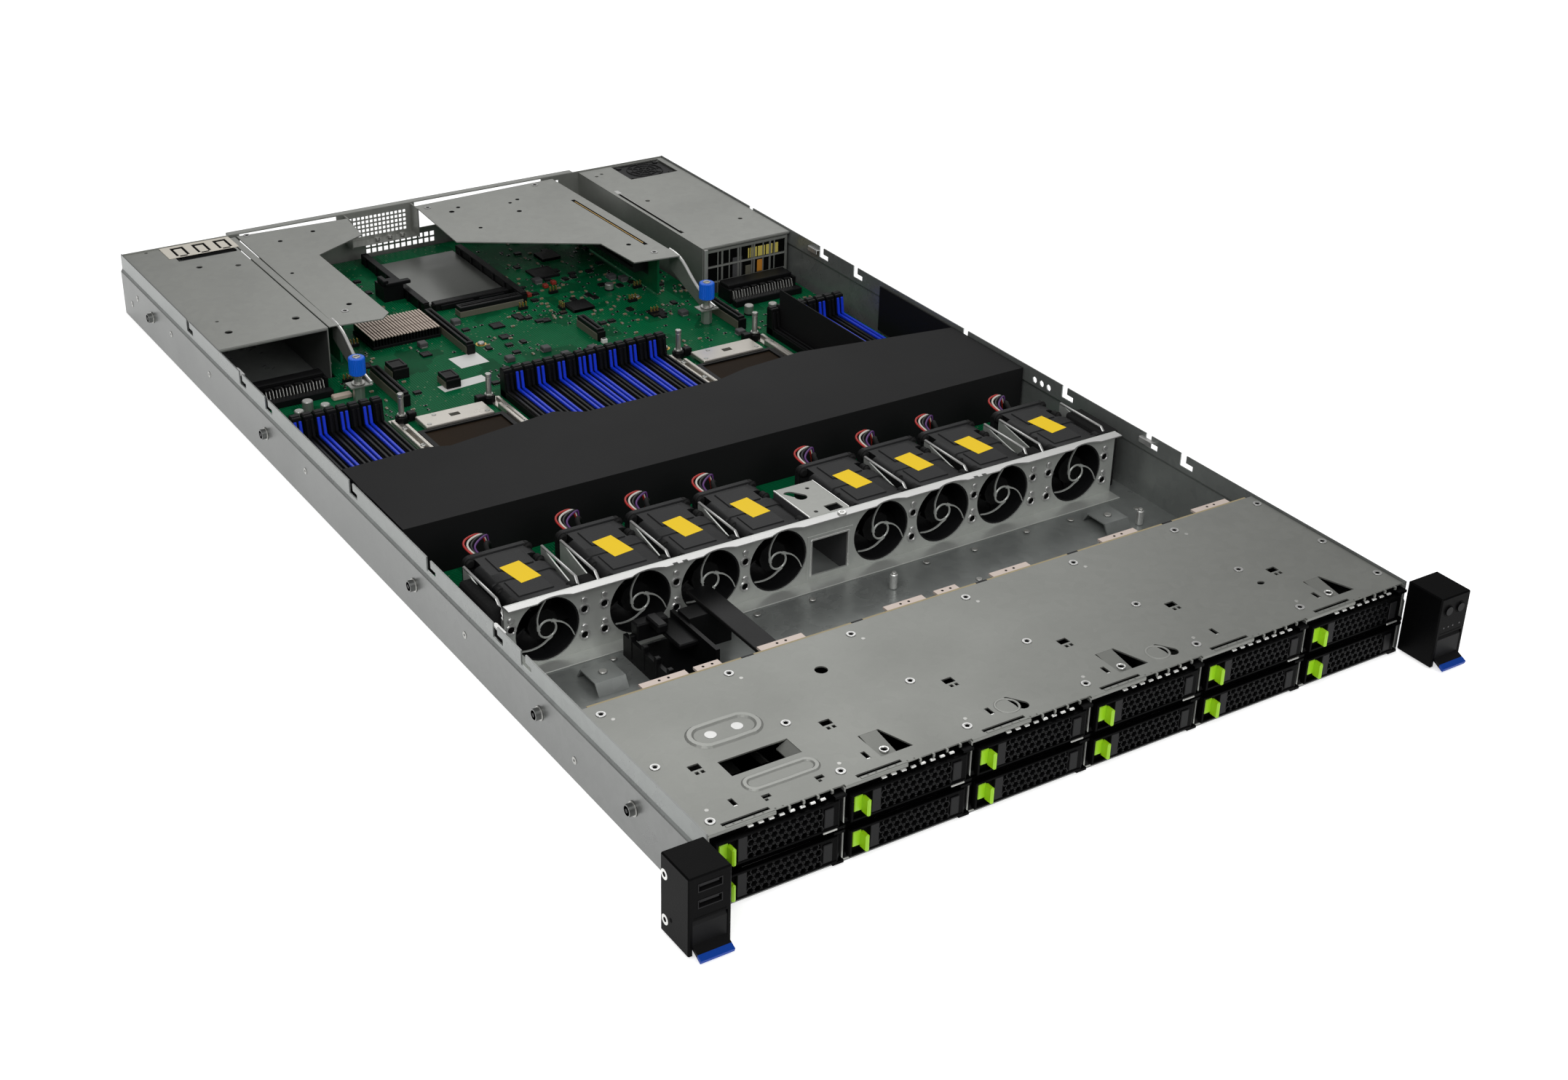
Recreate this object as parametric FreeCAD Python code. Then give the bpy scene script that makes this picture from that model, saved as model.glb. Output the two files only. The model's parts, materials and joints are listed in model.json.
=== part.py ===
import FreeCAD, Part
import math
import os

# A one-unit rack server with its lid off. Millimetres, +Z up, +X to the right seen from the front.
# Lengths along Y are stated from the front face of the drive cage, and place() moves them to the
# part's own frame, whose origin is the middle of the underside of the whole part.

# Casing
body_width = 438.0
body_height = 43.5
body_length = 788.0
sheet = 0.8
shoulder_inset = 1.2
shoulder_z = 31.0
shoulder_rise = 2.0
plate_top = 42.3
latch_reach = 31.0
hook_slot_from_front = [172.0, 203.0, 282.0, 385.0, 513.0, 556.0, 651.0]
hook_slot_width = 5.0
hook_slot_depth = 8.0
hook_pocket_length = 6.0
hook_pocket_height = 3.5
stud_from_front = [62.6, 155.8, 302.5, 518.0, 726.0]
stud_z = 19.0
stud_head_r = 3.2
stud_reach = 3.6
vent_hole_r = 2.2
vent_hole_drop = 7.0
vent_hole_from_front = [300.0, 307.0, 314.0]
bridge_spots = [(-165.0, 190.0), (176.0, 190.0)]
bridge_half_width = 9.0
bridge_half_length = 12.0
bridge_top = 7.0
floor_post_spots = [(22.0, 192.7), (193.0, 180.3)]
floor_post_r = 2.0
floor_post_top = 9.0

# Rear panel
card_window_left = (-132.0, -58.0)
card_window_right = (4.0, 110.0)
card_window_bottom = 22.0
card_window_from_top = 2.3
rear_grilles = [(-47.5, -5.5, 24.0, 38.5, 6.0, 4.2), (-37.0, 19.5, 10.6, 19.0, 6.2, 4.4)]

# Drive cage and trays
columns = 6
rows = 2
cage_sheet = 0.8
cage_side_sheet = 0.6
cage_depth = 116.7
cage_side_room = 2.4
ledge_reach = 2.6
ledge_thickness = 0.6
lip_drop = 1.0
slide_gap = 0.3
tray_side_gap = 0.4
tray_rear_gap = 10.7
tray_rail = 1.6
tray_front_thickness = 5.0
tray_rail_height = 12.0
lever_thickness = 3.4
lever_end_inset = 1.0
hinge_inset = 4.2
hinge_pin_r = 1.0
hinge_clearance = 0.05
knuckle_wall = 0.9
tray_ear = 1.4
tray_bar_from_front = 50.0
latch_tab_from_left = 2.2
latch_tab_width = 10.0
latch_fin = 2.6
latch_fin_reach = 5.0
grille_from_left = 17.0
grille_width = 40.0
hexagon_r = 4.0
hexagon_bar = 0.9
hexagons = 5
backplane_thickness = 1.8
backplane_drop = 0.6
drive_plug_width = 33.0
drive_plug_height = 5.0
drive_plug_reach = 3.2
rail_bars = [(-181.8, -155.8), (-151.0, -136.8), (-113.9, -87.3), (-36.7, -12.1), (-4.5, 9.6), (32.3, 57.3),
             (107.6, 133.0), (175.9, 201.7)]
rail_bar_width = 4.4
rail_bar_height = 1.3

# Cage top plate
plate_window = (-184.0, -146.0, 33.0, 46.0)
plate_square_first_x = -195.1
plate_square_from_front = 46.6
plate_square = 6.0
plate_slit_first_x = -207.8
plate_slit_length = 25.0
plate_slit_width = 1.6
plate_slit_from_front = 2.6
plate_ramp_x = [-106.5, 37.0, 181.0]
plate_ramp_from_front = 12.0
plate_ramp_width = 8.0
plate_ramp_length = 20.0
plate_big_hole = (-98.7, 87.7)
plate_big_hole_r = 3.4

# Fans
fan_size = 40.0
fan_length = 60.0
fan_x = [-180.0, -124.2, -80.4, -36.6, 33.0, 76.8, 120.6, 176.4]
fan_wall_from_front = 221.7
fan_wall_half_width = 205.0
fan_floor_gap = 0.2
fan_flange = 4.0
fan_corner_cut = 4.0
fan_bore_r = 18.8
fan_bore_sides = 16
guard_ring_r = 5.4
guard_bar = 1.6
guard_arms = 3
wall_flange = 8.0
wall_foot = 10.0
rotor_hub_r = 9.0
rotor_length = 22.0
rotor_tip_gap = 0.7
rotor_from_fan_front = 5.0
rotor_blades = 5
blade_thickness = 1.0
blade_tilt = 26.0
rotor_shaft_r = 1.5
shaft_clearance = 0.05
motor_r = 8.8
motor_strut = 1.8
lead_width = 3.0
lead_reach = 16.0
lead_from_middle = 4.0
pass_window = (-15.0, 10.4, 5.0, 28.0)
pass_bracket_length = 38.0
divider_plate = 0.8
divider_bend = 2.4
wide_gap_x = [-152.1, 148.5]
wide_gap_spacing = 11.6
single_divider_x = [-102.8, -59.0, 54.4, 98.2]

# Cable holder between the cage and the fan wall
holder_span = (-143.0, -112.0)
holder_wall = 2.4
ribbon_span = (-99.5, -85.5)
ribbon_z = 22.0
ribbon_thickness = 1.4

# Air duct
duct_sheet = 0.9
duct_top = 41.0
duct_from_front = 325.0
duct_left = -214.0
duct_right = 216.0
duct_rear = 408.0
duct_edge = [(duct_right, -8.0), (105.6, 9.0), (61.8, 5.0), (36.6, -2.0), (-56.5, -1.0), (-74.0, 9.0),
             (-147.2, -2.0), (-160.7, 3.0), (duct_left, 1.0)]
duct_skirt_bottom_gap = 0.3
duct_wall_sheet = 0.6
duct_wall_end = 512.0
duct_side_from_front = 483.0
duct_flap_from_front = 500.0

# Motherboard
board_bottom = 6.4
board_thickness = 1.6
board_from_front = 290.0
board_end = 783.0
board_half_width = 213.5
standoff_r = 2.6
memory_pitch = 7.62
memory_width = 6.4
memory_from_front = 368.0
memory_end = 518.0
memory_rail_height = 6.0
memory_tower_height = 19.5
memory_tower_length = 9.0
memory_groove = 1.6
memory_groove_depth = 3.5
bank_middle_first = -57.15
bank_left_first = -201.1
bank_right_first = 147.9
socket_x = [-102.0, 100.5]
socket_half_width = 30.0
socket_from_front = 414.0
socket_end = 490.0
socket_height = 3.2
frame_half_width = 38.0
frame_height = 1.6
frame_border = 7.0
bracket_from_front = 492.5
bracket_end = 504.0
bracket_half_width = 17.0
bracket_height = 3.0
frame_post_r = 1.6
frame_post_height = 20.6
frame_post_x = 30.5
frame_post_rear = 511.5
frame_end = 517.0
heatsink_box = (-103.0, -53.0, 623.0, 658.0)
heatsink_height = 8.0
heatsink_base = 2.0
heatsink_fins = 14
fin_share = 0.45
bay_plate = (-42.0, 21.5, 672.0, 761.0)
bay_plate_height = 2.0
bay_plate_sheet = 0.8
guide_width = 4.0
guide_height = 7.0
guide_gap = 0.3
slot_half = 0.8
slot_depth = 3.0
slim_sockets = [(-50.5, -45.5, 588.0, 654.0, 8.0), (-122.5, -117.5, 534.0, 582.0, 9.0),
                (131.0, 136.0, 533.0, 580.0, 9.0), (36.5, 41.5, 564.0, 592.0, 8.0),
                (-27.0, 21.0, 646.0, 653.0, 7.0)]
comb_left = (-28.0, 26.0, 578.0, 590.0)
comb_right = (-30.0, 26.0, 574.0, 590.0)
comb_height = 10.0
chips = [(46.0, 16.0, 614.0, 16.0, 2.2), (71.0, 15.0, 711.0, 15.0, 2.2), (-110.0, 10.0, 575.0, 11.0, 8.0),
         (-86.0, 9.0, 545.0, 11.0, 7.0)]

# Power supplies
bay_width = 74.5
bay_length = 188.0
bay_slit_from_rear = (59.0, 153.0)
bay_notch_from_rear = 35.0
bay_holes = [(14.0, 12.0), (58.0, 40.0), (14.0, 90.0), (58.0, 120.0), (36.0, 22.0)]
module_gap = 1.6
module_proud = 0.4
module_window_gap = 0.4
module_height = 38.6
module_grille_depth = 6.0
module_grille_rows = 3
module_grille_columns = 5
module_grille_bar = 1.4
inlet_width = 24.0
inlet_height = 16.0
inlet_depth = 14.0
handle_bar = 3.0
handle_ear_reach = 5.0
handle_pivot_reach = 2.6
handle_width = 34.0
handle_drop = 20.0
handle_pivot_z = 31.0
handle_clearance = 0.05
handle_pin_r = 1.2
blank_length = 33.0

# Risers: outline points and screws are (x, distance from the rear wall)
riser_sheet = 0.8
riser_left_outline = [(-136.4, 187.4), (-105.7, 191.5), (-98.0, 184.0), (-97.8, 65.0),
                      (-56.0, 43.0), (-52.6, 8.0), (-134.8, 3.0)]
riser_right_outline = [(122.0, 190.6), (118.1, 4.0), (1.5, 8.0), (-3.4, 89.1), (84.5, 142.4),
                       (87.5, 185.9)]
riser_screw_spot = {"left": (-142.0, 232.0), "right": (117.7, 234.6)}
riser_foot_z = 19.0
riser_foot_r = 7.0
riser_leg_x = {"left": -134.5, "right": 122.6}
screw_cap_r = 5.4
screw_cap_bottom = 27.0
screw_cap_top = 38.0
screw_neck_r = 3.0
screw_shank_r = 1.9
screw_clearance = 0.05
nut_r = 4.0
riser_card_thickness = 1.6
riser_card_x = {"left": -131.0, "right": 112.0}
riser_card_from_rear = (53.0, 176.0)
riser_leg_from_rear = 187.5
riser_slot_from_rear = (69.0, 158.0)
riser_slot_reach = 9.0
riser_slot_bottom = 22.0
riser_slot_height = 7.5
riser_slot_mouth = 1.8

# Ears
ear_width = 22.0
ear_depth = 24.0
ear_bottom = 1.2
ear_flange_gap = 0.2
ear_latch_height = 15.0
ear_latch_bottom = 4.6
ear_latch_side = 2.0
ear_latch_depth = 6.0
ear_pin_r = 1.0
ear_pin_clearance = 0.05
ear_pin_length = 1.2
ear_pin_gap = 0.2
rack_hole_r = 3.2
rack_hole_inset = 8.45
rack_hole_z = 5.6
port_width = 12.6
port_height = 4.6
port_depth = 12.0
port_tongue = 1.8
port_z = [28.6, 37.2]
button_r = 2.5
button_gap = 0.12
button_travel = 1.0
button_proud = 0.9
button_z = 35.3
button_x = [225.4, 234.2]

# Worked out from the sizes above
half_width = body_width / 2
upper_half = half_width - shoulder_inset
column_pitch = (body_width - 2 * cage_side_room) / columns
tray_depth = cage_depth - tray_rear_gap
rack_hole_x = half_width + ear_width - rack_hole_inset
upper_inner = upper_half - sheet
front_shift = (latch_reach - body_length - module_proud - handle_ear_reach) / 2
plate_bottom = plate_top - cage_sheet
cage_floor = sheet + cage_sheet
column_gap = column_pitch - cage_sheet
tray_width = column_gap - 2 * tray_side_gap
cage_inner = columns * column_pitch / 2 - cage_sheet / 2
cage_outer = cage_inner + cage_side_sheet
row_room = plate_bottom - lip_drop - cage_floor
tray_height = (row_room - ledge_thickness - 4 * slide_gap) / rows
ledge_bottom = cage_floor + tray_height + 2 * slide_gap
row_bottom = [cage_floor + slide_gap, ledge_bottom + ledge_thickness + slide_gap]
column_left = [-cage_inner + i * column_pitch + tray_side_gap for i in range(columns)]
pin_from_front = -lever_thickness / 2 + 0.9
knuckle_r = hinge_pin_r + hinge_clearance + knuckle_wall
fan_floor = sheet + fan_floor_gap
fan_z = fan_floor + fan_size / 2
fan_front = fan_wall_from_front + sheet
fan_top = fan_z + fan_size / 2
board_top = board_bottom + board_thickness
bay_inner = upper_inner - bay_width
duct_low = board_top + duct_skirt_bottom_gap
module_left = bay_inner + sheet + module_gap
module_right = upper_inner - module_gap
module_bottom = sheet + slide_gap
module_top = module_bottom + module_height
inner_rear = body_length - sheet
card_window_top = plate_top - card_window_from_top
bay_from_front = body_length - bay_length
riser_screw = {side: (x, body_length - reach) for side, (x, reach) in riser_screw_spot.items()}
blank_from_front = body_length - blank_length
slit_front, slit_rear = [body_length - reach for reach in reversed(bay_slit_from_rear)]


def place(shape):
    moved = shape.copy()
    moved.translate(FreeCAD.Vector(0, front_shift, 0))
    return moved


def save(node, shapes):
    solids = [place(shape) for shape in shapes]
    whole = solids[0] if len(solids) == 1 else Part.makeCompound(solids)
    whole.exportStep("parts/" + node + ".step")


def box(x0, x1, y0, y1, z0, z1):
    return Part.makeBox(x1 - x0, y1 - y0, z1 - z0, FreeCAD.Vector(x0, y0, z0))


def post(x, y, radius, z0, z1):
    return Part.makeCylinder(radius, z1 - z0, FreeCAD.Vector(x, y, z0))


def rod_y(x, z, radius, y0, y1):
    return Part.makeCylinder(radius, y1 - y0, FreeCAD.Vector(x, y0, z), FreeCAD.Vector(0, 1, 0))


def rod_x(y, z, radius, x0, x1):
    return Part.makeCylinder(radius, x1 - x0, FreeCAD.Vector(x0, y, z), FreeCAD.Vector(1, 0, 0))


def slab(points, z0, z1):
    corners = [FreeCAD.Vector(x, y, z0) for x, y in points]
    face = Part.Face(Part.makePolygon(corners + corners[:1]))
    return face.extrude(FreeCAD.Vector(0, 0, z1 - z0))


def side_profile(points, x0, x1):
    corners = [FreeCAD.Vector(x0, y, z) for y, z in points]
    face = Part.Face(Part.makePolygon(corners + corners[:1]))
    return face.extrude(FreeCAD.Vector(x1 - x0, 0, 0))


def front_profile(points, y0, y1):
    corners = [FreeCAD.Vector(x, y0, z) for x, z in points]
    face = Part.Face(Part.makePolygon(corners + corners[:1]))
    return face.extrude(FreeCAD.Vector(0, y1 - y0, 0))


def join(shapes):
    first = shapes[0]
    if len(shapes) == 1:
        return first
    return first.fuse(shapes[1:]).removeSplitter()


def carve(shape, tools):
    return shape.cut(Part.makeCompound(tools)) if tools else shape


def mirrored(shape):
    return shape.mirror(FreeCAD.Vector(0, 0, 0), FreeCAD.Vector(1, 0, 0))


def corner_angles(sides):
    return [2 * math.pi * k / sides for k in range(sides)]


def prism_z(x, y, radius, sides, z0, z1):
    corners = [(x + radius * math.cos(angle), y + radius * math.sin(angle))
               for angle in corner_angles(sides)]
    return slab(corners, z0, z1)


def prism_y(x, z, radius, sides, y0, y1):
    corners = [(x + radius * math.cos(angle), z + radius * math.sin(angle))
               for angle in corner_angles(sides)]
    return front_profile(corners, y0, y1)


def prism_x(y, z, radius, sides, x0, x1):
    corners = [(y + radius * math.cos(angle), z + radius * math.sin(angle))
               for angle in corner_angles(sides)]
    return side_profile(corners, x0, x1)


def stud(side, y):
    head = rod_x(y, stud_z, stud_head_r, half_width - sheet / 2, half_width + stud_reach)
    return head if side > 0 else mirrored(head)


def hook_slot(side, y):
    entry = box(upper_inner - sheet, half_width + sheet, y, y + hook_slot_width,
                body_height - hook_slot_depth, body_height + sheet)
    pocket = box(upper_inner - sheet, half_width + sheet, y - hook_pocket_length, y + hook_slot_width,
                 body_height - hook_slot_depth, body_height - hook_slot_depth + hook_pocket_height)
    whole = entry.fuse(pocket)
    return whole if side > 0 else mirrored(whole)


def standoffs():
    spots = [(x, y) for x in (-190.0, -70.0, 70.0, 190.0) for y in (board_from_front + 12, 530.0)]
    spots += [(x, board_end - 14) for x in (-110.0, 70.0)]
    return [prism_z(x, y, standoff_r, 6, sheet, board_bottom) for x, y in spots]


def floor_bridge(x, y):
    top = bridge_top
    foot = bridge_half_length
    slope = 4.0
    points = [(y - foot, sheet), (y - foot + slope, top), (y + foot - slope, top), (y + foot, sheet),
              (y + foot - 1.2, sheet), (y + foot - slope - 0.8, top - sheet),
              (y - foot + slope + 0.8, top - sheet), (y - foot + 1.2, sheet)]
    return side_profile(points, x - bridge_half_width, x + bridge_half_width)


def side_wall(side):
    high = shoulder_z + shoulder_rise
    outer = [(half_width, sheet), (half_width, shoulder_z), (upper_half, high), (upper_half, body_height)]
    inner = [(upper_inner, body_height), (upper_inner, high - sheet / 2),
             (half_width - sheet, shoulder_z - sheet / 2), (half_width - sheet, sheet)]
    wall = front_profile(outer + inner, 0, body_length)
    wall = wall if side > 0 else mirrored(wall)
    cuts = [hook_slot(side, y) for y in hook_slot_from_front]
    if side > 0:
        vent_z = body_height - vent_hole_drop
        cuts += [prism_x(y, vent_z, vent_hole_r, 8, upper_inner - sheet, half_width + sheet)
                 for y in vent_hole_from_front]
    return join([carve(wall, cuts)] + [stud(side, y) for y in stud_from_front])


def chassis_pan():
    floor = box(-half_width, half_width, 0, body_length, 0, sheet)
    fittings = standoffs() + [floor_bridge(x, y) for x, y in bridge_spots]
    fittings += [prism_z(x, y, floor_post_r, 6, sheet, floor_post_top) for x, y in floor_post_spots]
    save("chassis_pan", [floor, side_wall(-1), side_wall(1)] + fittings)


def grid_holes(x0, x1, z0, z1, pitch, hole, y0, y1):
    holes = []
    columns_here = int((x1 - x0) / pitch)
    rows_here = int((z1 - z0) / pitch)
    for i in range(columns_here):
        for j in range(rows_here):
            x = x0 + (i + 0.5) * pitch
            z = z0 + (j + 0.5) * pitch
            holes.append(box(x - hole / 2, x + hole / 2, y0, y1, z - hole / 2, z + hole / 2))
    return holes


def rear_panel():
    panel = box(-upper_inner, upper_inner, inner_rear, body_length, sheet, body_height - 0.3)
    y0 = inner_rear - 1
    y1 = body_length + 1
    floor_z = sheet + 1.0
    supply_top = plate_bottom - 0.5
    cuts = [box(-upper_inner + 2, -bay_inner - 2, y0, y1, floor_z, supply_top),
            box(module_left - module_window_gap, module_right + module_window_gap, y0, y1, sheet,
                module_top + module_window_gap),
            box(card_window_left[0], card_window_left[1], y0, y1, card_window_bottom, card_window_top),
            box(card_window_right[0], card_window_right[1], y0, y1, card_window_bottom, card_window_top)]
    for x0, x1, z0, z1, pitch, hole in rear_grilles:
        cuts += grid_holes(x0, x1, z0, z1, pitch, hole, y0, y1)
    save("rear_panel", [carve(panel, cuts)])


def ledge(x0, x1):
    return box(x0, x1, 2.0, cage_depth - 4, ledge_bottom, ledge_bottom + ledge_thickness)


def drive_cage():
    floor = box(-cage_outer, cage_outer, 0, cage_depth, sheet, cage_floor)
    pieces = [floor]
    for side in (-1, 1):
        low = min(side * cage_inner, side * cage_outer)
        pieces.append(box(low, low + cage_side_sheet, 0, cage_depth, sheet, plate_bottom))
        reach = min(side * cage_inner, side * (cage_inner - ledge_reach))
        pieces.append(ledge(reach, reach + ledge_reach))
    for i in range(1, columns):
        x = -columns * column_pitch / 2 + i * column_pitch
        pieces.append(box(x - cage_sheet / 2, x + cage_sheet / 2, 0, cage_depth, sheet, plate_bottom))
        pieces.append(ledge(x - cage_sheet / 2 - ledge_reach, x + cage_sheet / 2 + ledge_reach))
    save("drive_cage", [join(pieces)])


def plate_cuts():
    z0 = plate_bottom - lip_drop - 1
    z1 = plate_top + 1
    x0, x1, y0, y1 = plate_window
    cuts = [box(x0, x1, y0, y1, z0, z1)]
    for i in range(columns):
        x = plate_square_first_x + i * column_pitch
        half = plate_square / 2
        y = plate_square_from_front
        cuts.append(box(x - half, x + half, y - half, y + half, z0, z1))
        slit = plate_slit_first_x + i * column_pitch
        cuts.append(box(slit, slit + plate_slit_length, plate_slit_from_front,
                        plate_slit_from_front + plate_slit_width, z0, z1))
    for x in plate_ramp_x:
        y = plate_ramp_from_front
        rear = y + plate_ramp_length
        corners = [(x, y), (x + plate_ramp_width, y), (x + plate_ramp_width / 2, rear), (x, rear)]
        cuts.append(slab(corners, z0, z1))
    x, y = plate_big_hole
    cuts.append(prism_z(x, y, plate_big_hole_r, 12, z0, z1))
    return cuts


def cage_top_plate():
    plate = box(-cage_outer, cage_outer, 0, cage_depth, plate_bottom, plate_top)
    lips = []
    for i in range(columns):
        x = -cage_inner + i * column_pitch + tray_side_gap
        lips.append(box(x, x + tray_width, 0, cage_sheet, plate_bottom - lip_drop, plate_top))
    whole = carve(join([plate] + lips), plate_cuts())
    save("cage_top_plate", [whole])


def tray_shape(column, row):
    x = column_left[column]
    z = row_bottom[row]
    top = z + tray_height
    right = x + tray_width
    back = tray_depth
    rail_z = z + tray_rail_height
    face_y = slide_gap
    left_rail = box(x, x + tray_rail, face_y, back, z, rail_z)
    right_rail = box(right - tray_rail, right, face_y, back, z, rail_z)
    rear_bar = box(x, right, back - tray_rail, back, z, z + 5)
    floor_bar = box(x, right, tray_bar_from_front, tray_bar_from_front + 8, z, z + 1)
    face = box(x, right, face_y, face_y + tray_front_thickness, z, top)
    window = box(x + grille_from_left, x + grille_from_left + grille_width, face_y - 1,
                 face_y + tray_front_thickness + 1, z + 2.2, top - 2.2)
    pin_x = right - hinge_inset
    ears = []
    for low, high in ((z, z + tray_ear), (top - tray_ear, top)):
        ears.append(box(pin_x - knuckle_r, right, pin_from_front - knuckle_r, face_y, low, high))
    pin = post(pin_x, pin_from_front, hinge_pin_r, z + tray_ear / 2, top - tray_ear / 2)
    frame = carve(join([face, left_rail, right_rail, rear_bar, floor_bar]), [window])
    reach = knuckle_r + slide_gap
    room = box(pin_x - reach, pin_x + reach, pin_from_front - reach, pin_from_front + reach, z + tray_ear,
               top - tray_ear)
    return join([carve(join([frame] + ears), [room]), pin])


def hexagon_hole(x, z, y0, y1):
    corners = [(x + hexagon_r * math.sin(angle), z + hexagon_r * math.cos(angle))
               for angle in corner_angles(6)]
    return front_profile(corners, y0, y1)


def lever_shape(column, row):
    x = column_left[column]
    z = row_bottom[row] + tray_ear + slide_gap
    top = row_bottom[row] + tray_height - tray_ear - slide_gap
    right = x + tray_width
    pin_x = right - hinge_inset
    y0 = -lever_thickness
    plate = box(x + lever_end_inset, pin_x - knuckle_r / 2, y0, -slide_gap / 2, z, top)
    pitch_x = math.sqrt(3) * hexagon_r + hexagon_bar
    middle = (z + top) / 2
    first = x + grille_from_left + (grille_width - (hexagons - 1) * pitch_x) / 2
    holes = [hexagon_hole(first + i * pitch_x, middle, y0 - 1, 1) for i in range(hexagons)]
    tab_x = x + latch_tab_from_left
    recess = box(tab_x, tab_x + latch_tab_width, y0 - 1, y0 + 1.6, z + 1.6, top - 1.6)
    fin_x = tab_x + latch_tab_width / 2
    fin_points = [(y0 + 1.6, z + 2.4), (y0 + 1.6, top - 2.2), (y0 - latch_fin_reach, top - 3.6),
                  (y0 - latch_fin_reach, z + 3.0)]
    fin = side_profile(fin_points, fin_x, fin_x + latch_fin)
    knuckle = prism_z(pin_x, pin_from_front, knuckle_r, 6, z, top)
    bore = post(pin_x, pin_from_front, hinge_pin_r + hinge_clearance, z - 1, top + 1)
    body = join([carve(plate, holes + [recess]), knuckle, fin])
    return carve(body, [bore])


def trays():
    for column in range(columns):
        for row in range(rows):
            name = str(column + 1) + ("a" if row == 0 else "b")
            save("drive_tray_" + name, [tray_shape(column, row)])
            save("tray_lever_" + name, [lever_shape(column, row)])


def backplane():
    y0 = cage_depth
    y1 = y0 + backplane_thickness
    top = plate_top - backplane_drop
    board = box(-cage_outer + 4, cage_outer - 4, y0, y1, sheet + 1.0, top)
    pieces = [board]
    for column in range(columns):
        for row in range(rows):
            x = column_left[column] + tray_width / 2
            z = row_bottom[row] + tray_height / 2
            half = drive_plug_width / 2
            pieces.append(box(x - half, x + half, y0 - drive_plug_reach, y0, z - drive_plug_height / 2,
                              z + drive_plug_height / 2))
    for x0, x1 in rail_bars:
        pieces.append(box(x0, x1, y1, y1 + rail_bar_width, top - rail_bar_height, top))
    save("backplane", pieces)


def guard_arm(x, angle):
    start = math.radians(angle)
    points = []
    for t in range(3):
        share = t / 2
        radius = guard_ring_r + guard_bar / 2 + share * (fan_bore_r + 1 - guard_ring_r)
        turn = start - math.radians(80) * share
        points.append((radius, turn))
    outer = [(x + r * math.cos(a), fan_z + r * math.sin(a)) for r, a in points]
    inner = [(x + r * math.cos(a + guard_bar / r), fan_z + r * math.sin(a + guard_bar / r))
             for r, a in points]
    return front_profile(outer + inner[::-1], fan_wall_from_front, fan_front)


def fan_guard(x):
    y0 = fan_wall_from_front
    ring = prism_y(x, fan_z, guard_ring_r + guard_bar / 2, 8, y0, fan_front)
    ring = ring.cut(prism_y(x, fan_z, guard_ring_r - guard_bar / 2, 8, y0 - 1, fan_front + 1))
    return [ring] + [guard_arm(x, k * 360 / guard_arms + 20) for k in range(guard_arms)]


def fan_wall():
    y0 = fan_wall_from_front
    wall = box(-fan_wall_half_width, fan_wall_half_width, y0, fan_front, sheet, fan_top + sheet)
    foot = box(-fan_wall_half_width, fan_wall_half_width, y0 - wall_foot, y0, sheet, 2 * sheet)
    flange = box(-fan_wall_half_width, fan_wall_half_width, y0 - wall_flange, y0, fan_top, fan_top + sheet)
    cuts = [prism_y(x, fan_z, fan_bore_r, fan_bore_sides, y0 - 1, fan_front + 1) for x in fan_x]
    for x in fan_x:
        cuts.append(slab([(x - 15, y0 - wall_flange - 1), (x - 12, y0 - wall_flange + 4),
                          (x + 12, y0 - wall_flange + 4), (x + 15, y0 - wall_flange - 1)],
                         fan_top - 1, fan_top + sheet + 1))
    x0, x1, z0, z1 = pass_window
    cuts.append(box(x0, x1, y0 - 1, fan_front + 1, z0, z1))
    arms = []
    for x in fan_x:
        arms += fan_guard(x)
    whole = join([carve(join([wall, foot, flange]), cuts)] + arms)
    pieces = [whole]
    top = fan_top + sheet
    bracket = box(x0 - 0.4, x1 + 0.4, fan_front, fan_front + pass_bracket_length, top - sheet, top)
    legs = [box(x, x + sheet, fan_front, fan_front + pass_bracket_length, sheet, top)
            for x in (x0 - 0.4, x1 + 0.4 - sheet)]
    bracket = join([bracket] + legs)
    bracket = carve(bracket, [prism_z(x0 + 10, fan_front + 26, 3.4, 10, top - 2, top + 1),
                              prism_z(x1 - 5, fan_front + 8, 1.8, 8, top - 2, top + 1)])
    pieces.append(bracket)
    for x in wide_gap_x:
        for side in (-1, 1):
            pieces.append(divider(x + side * wide_gap_spacing / 2, side))
    for x in [-fan_wall_half_width + 1.0, fan_wall_half_width - 3.0] + single_divider_x:
        pieces.append(divider(x, 1))
    save("fan_wall", pieces)


def divider(x, side):
    top = fan_top + sheet
    y0 = fan_front
    y1 = y0 + fan_length * 0.8
    points = [(y0, sheet), (y1, sheet), (y1, top - 2), (y1 - 2, top), (y0 + 12, top), (y0, top - 10)]
    plate = side_profile(points, x - divider_plate / 2, x + divider_plate / 2)
    low = x if side > 0 else x - divider_bend
    bend = box(low, low + divider_bend, y0 + 12, y1 - 2, top - divider_plate, top)
    return join([plate, bend])


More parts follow.
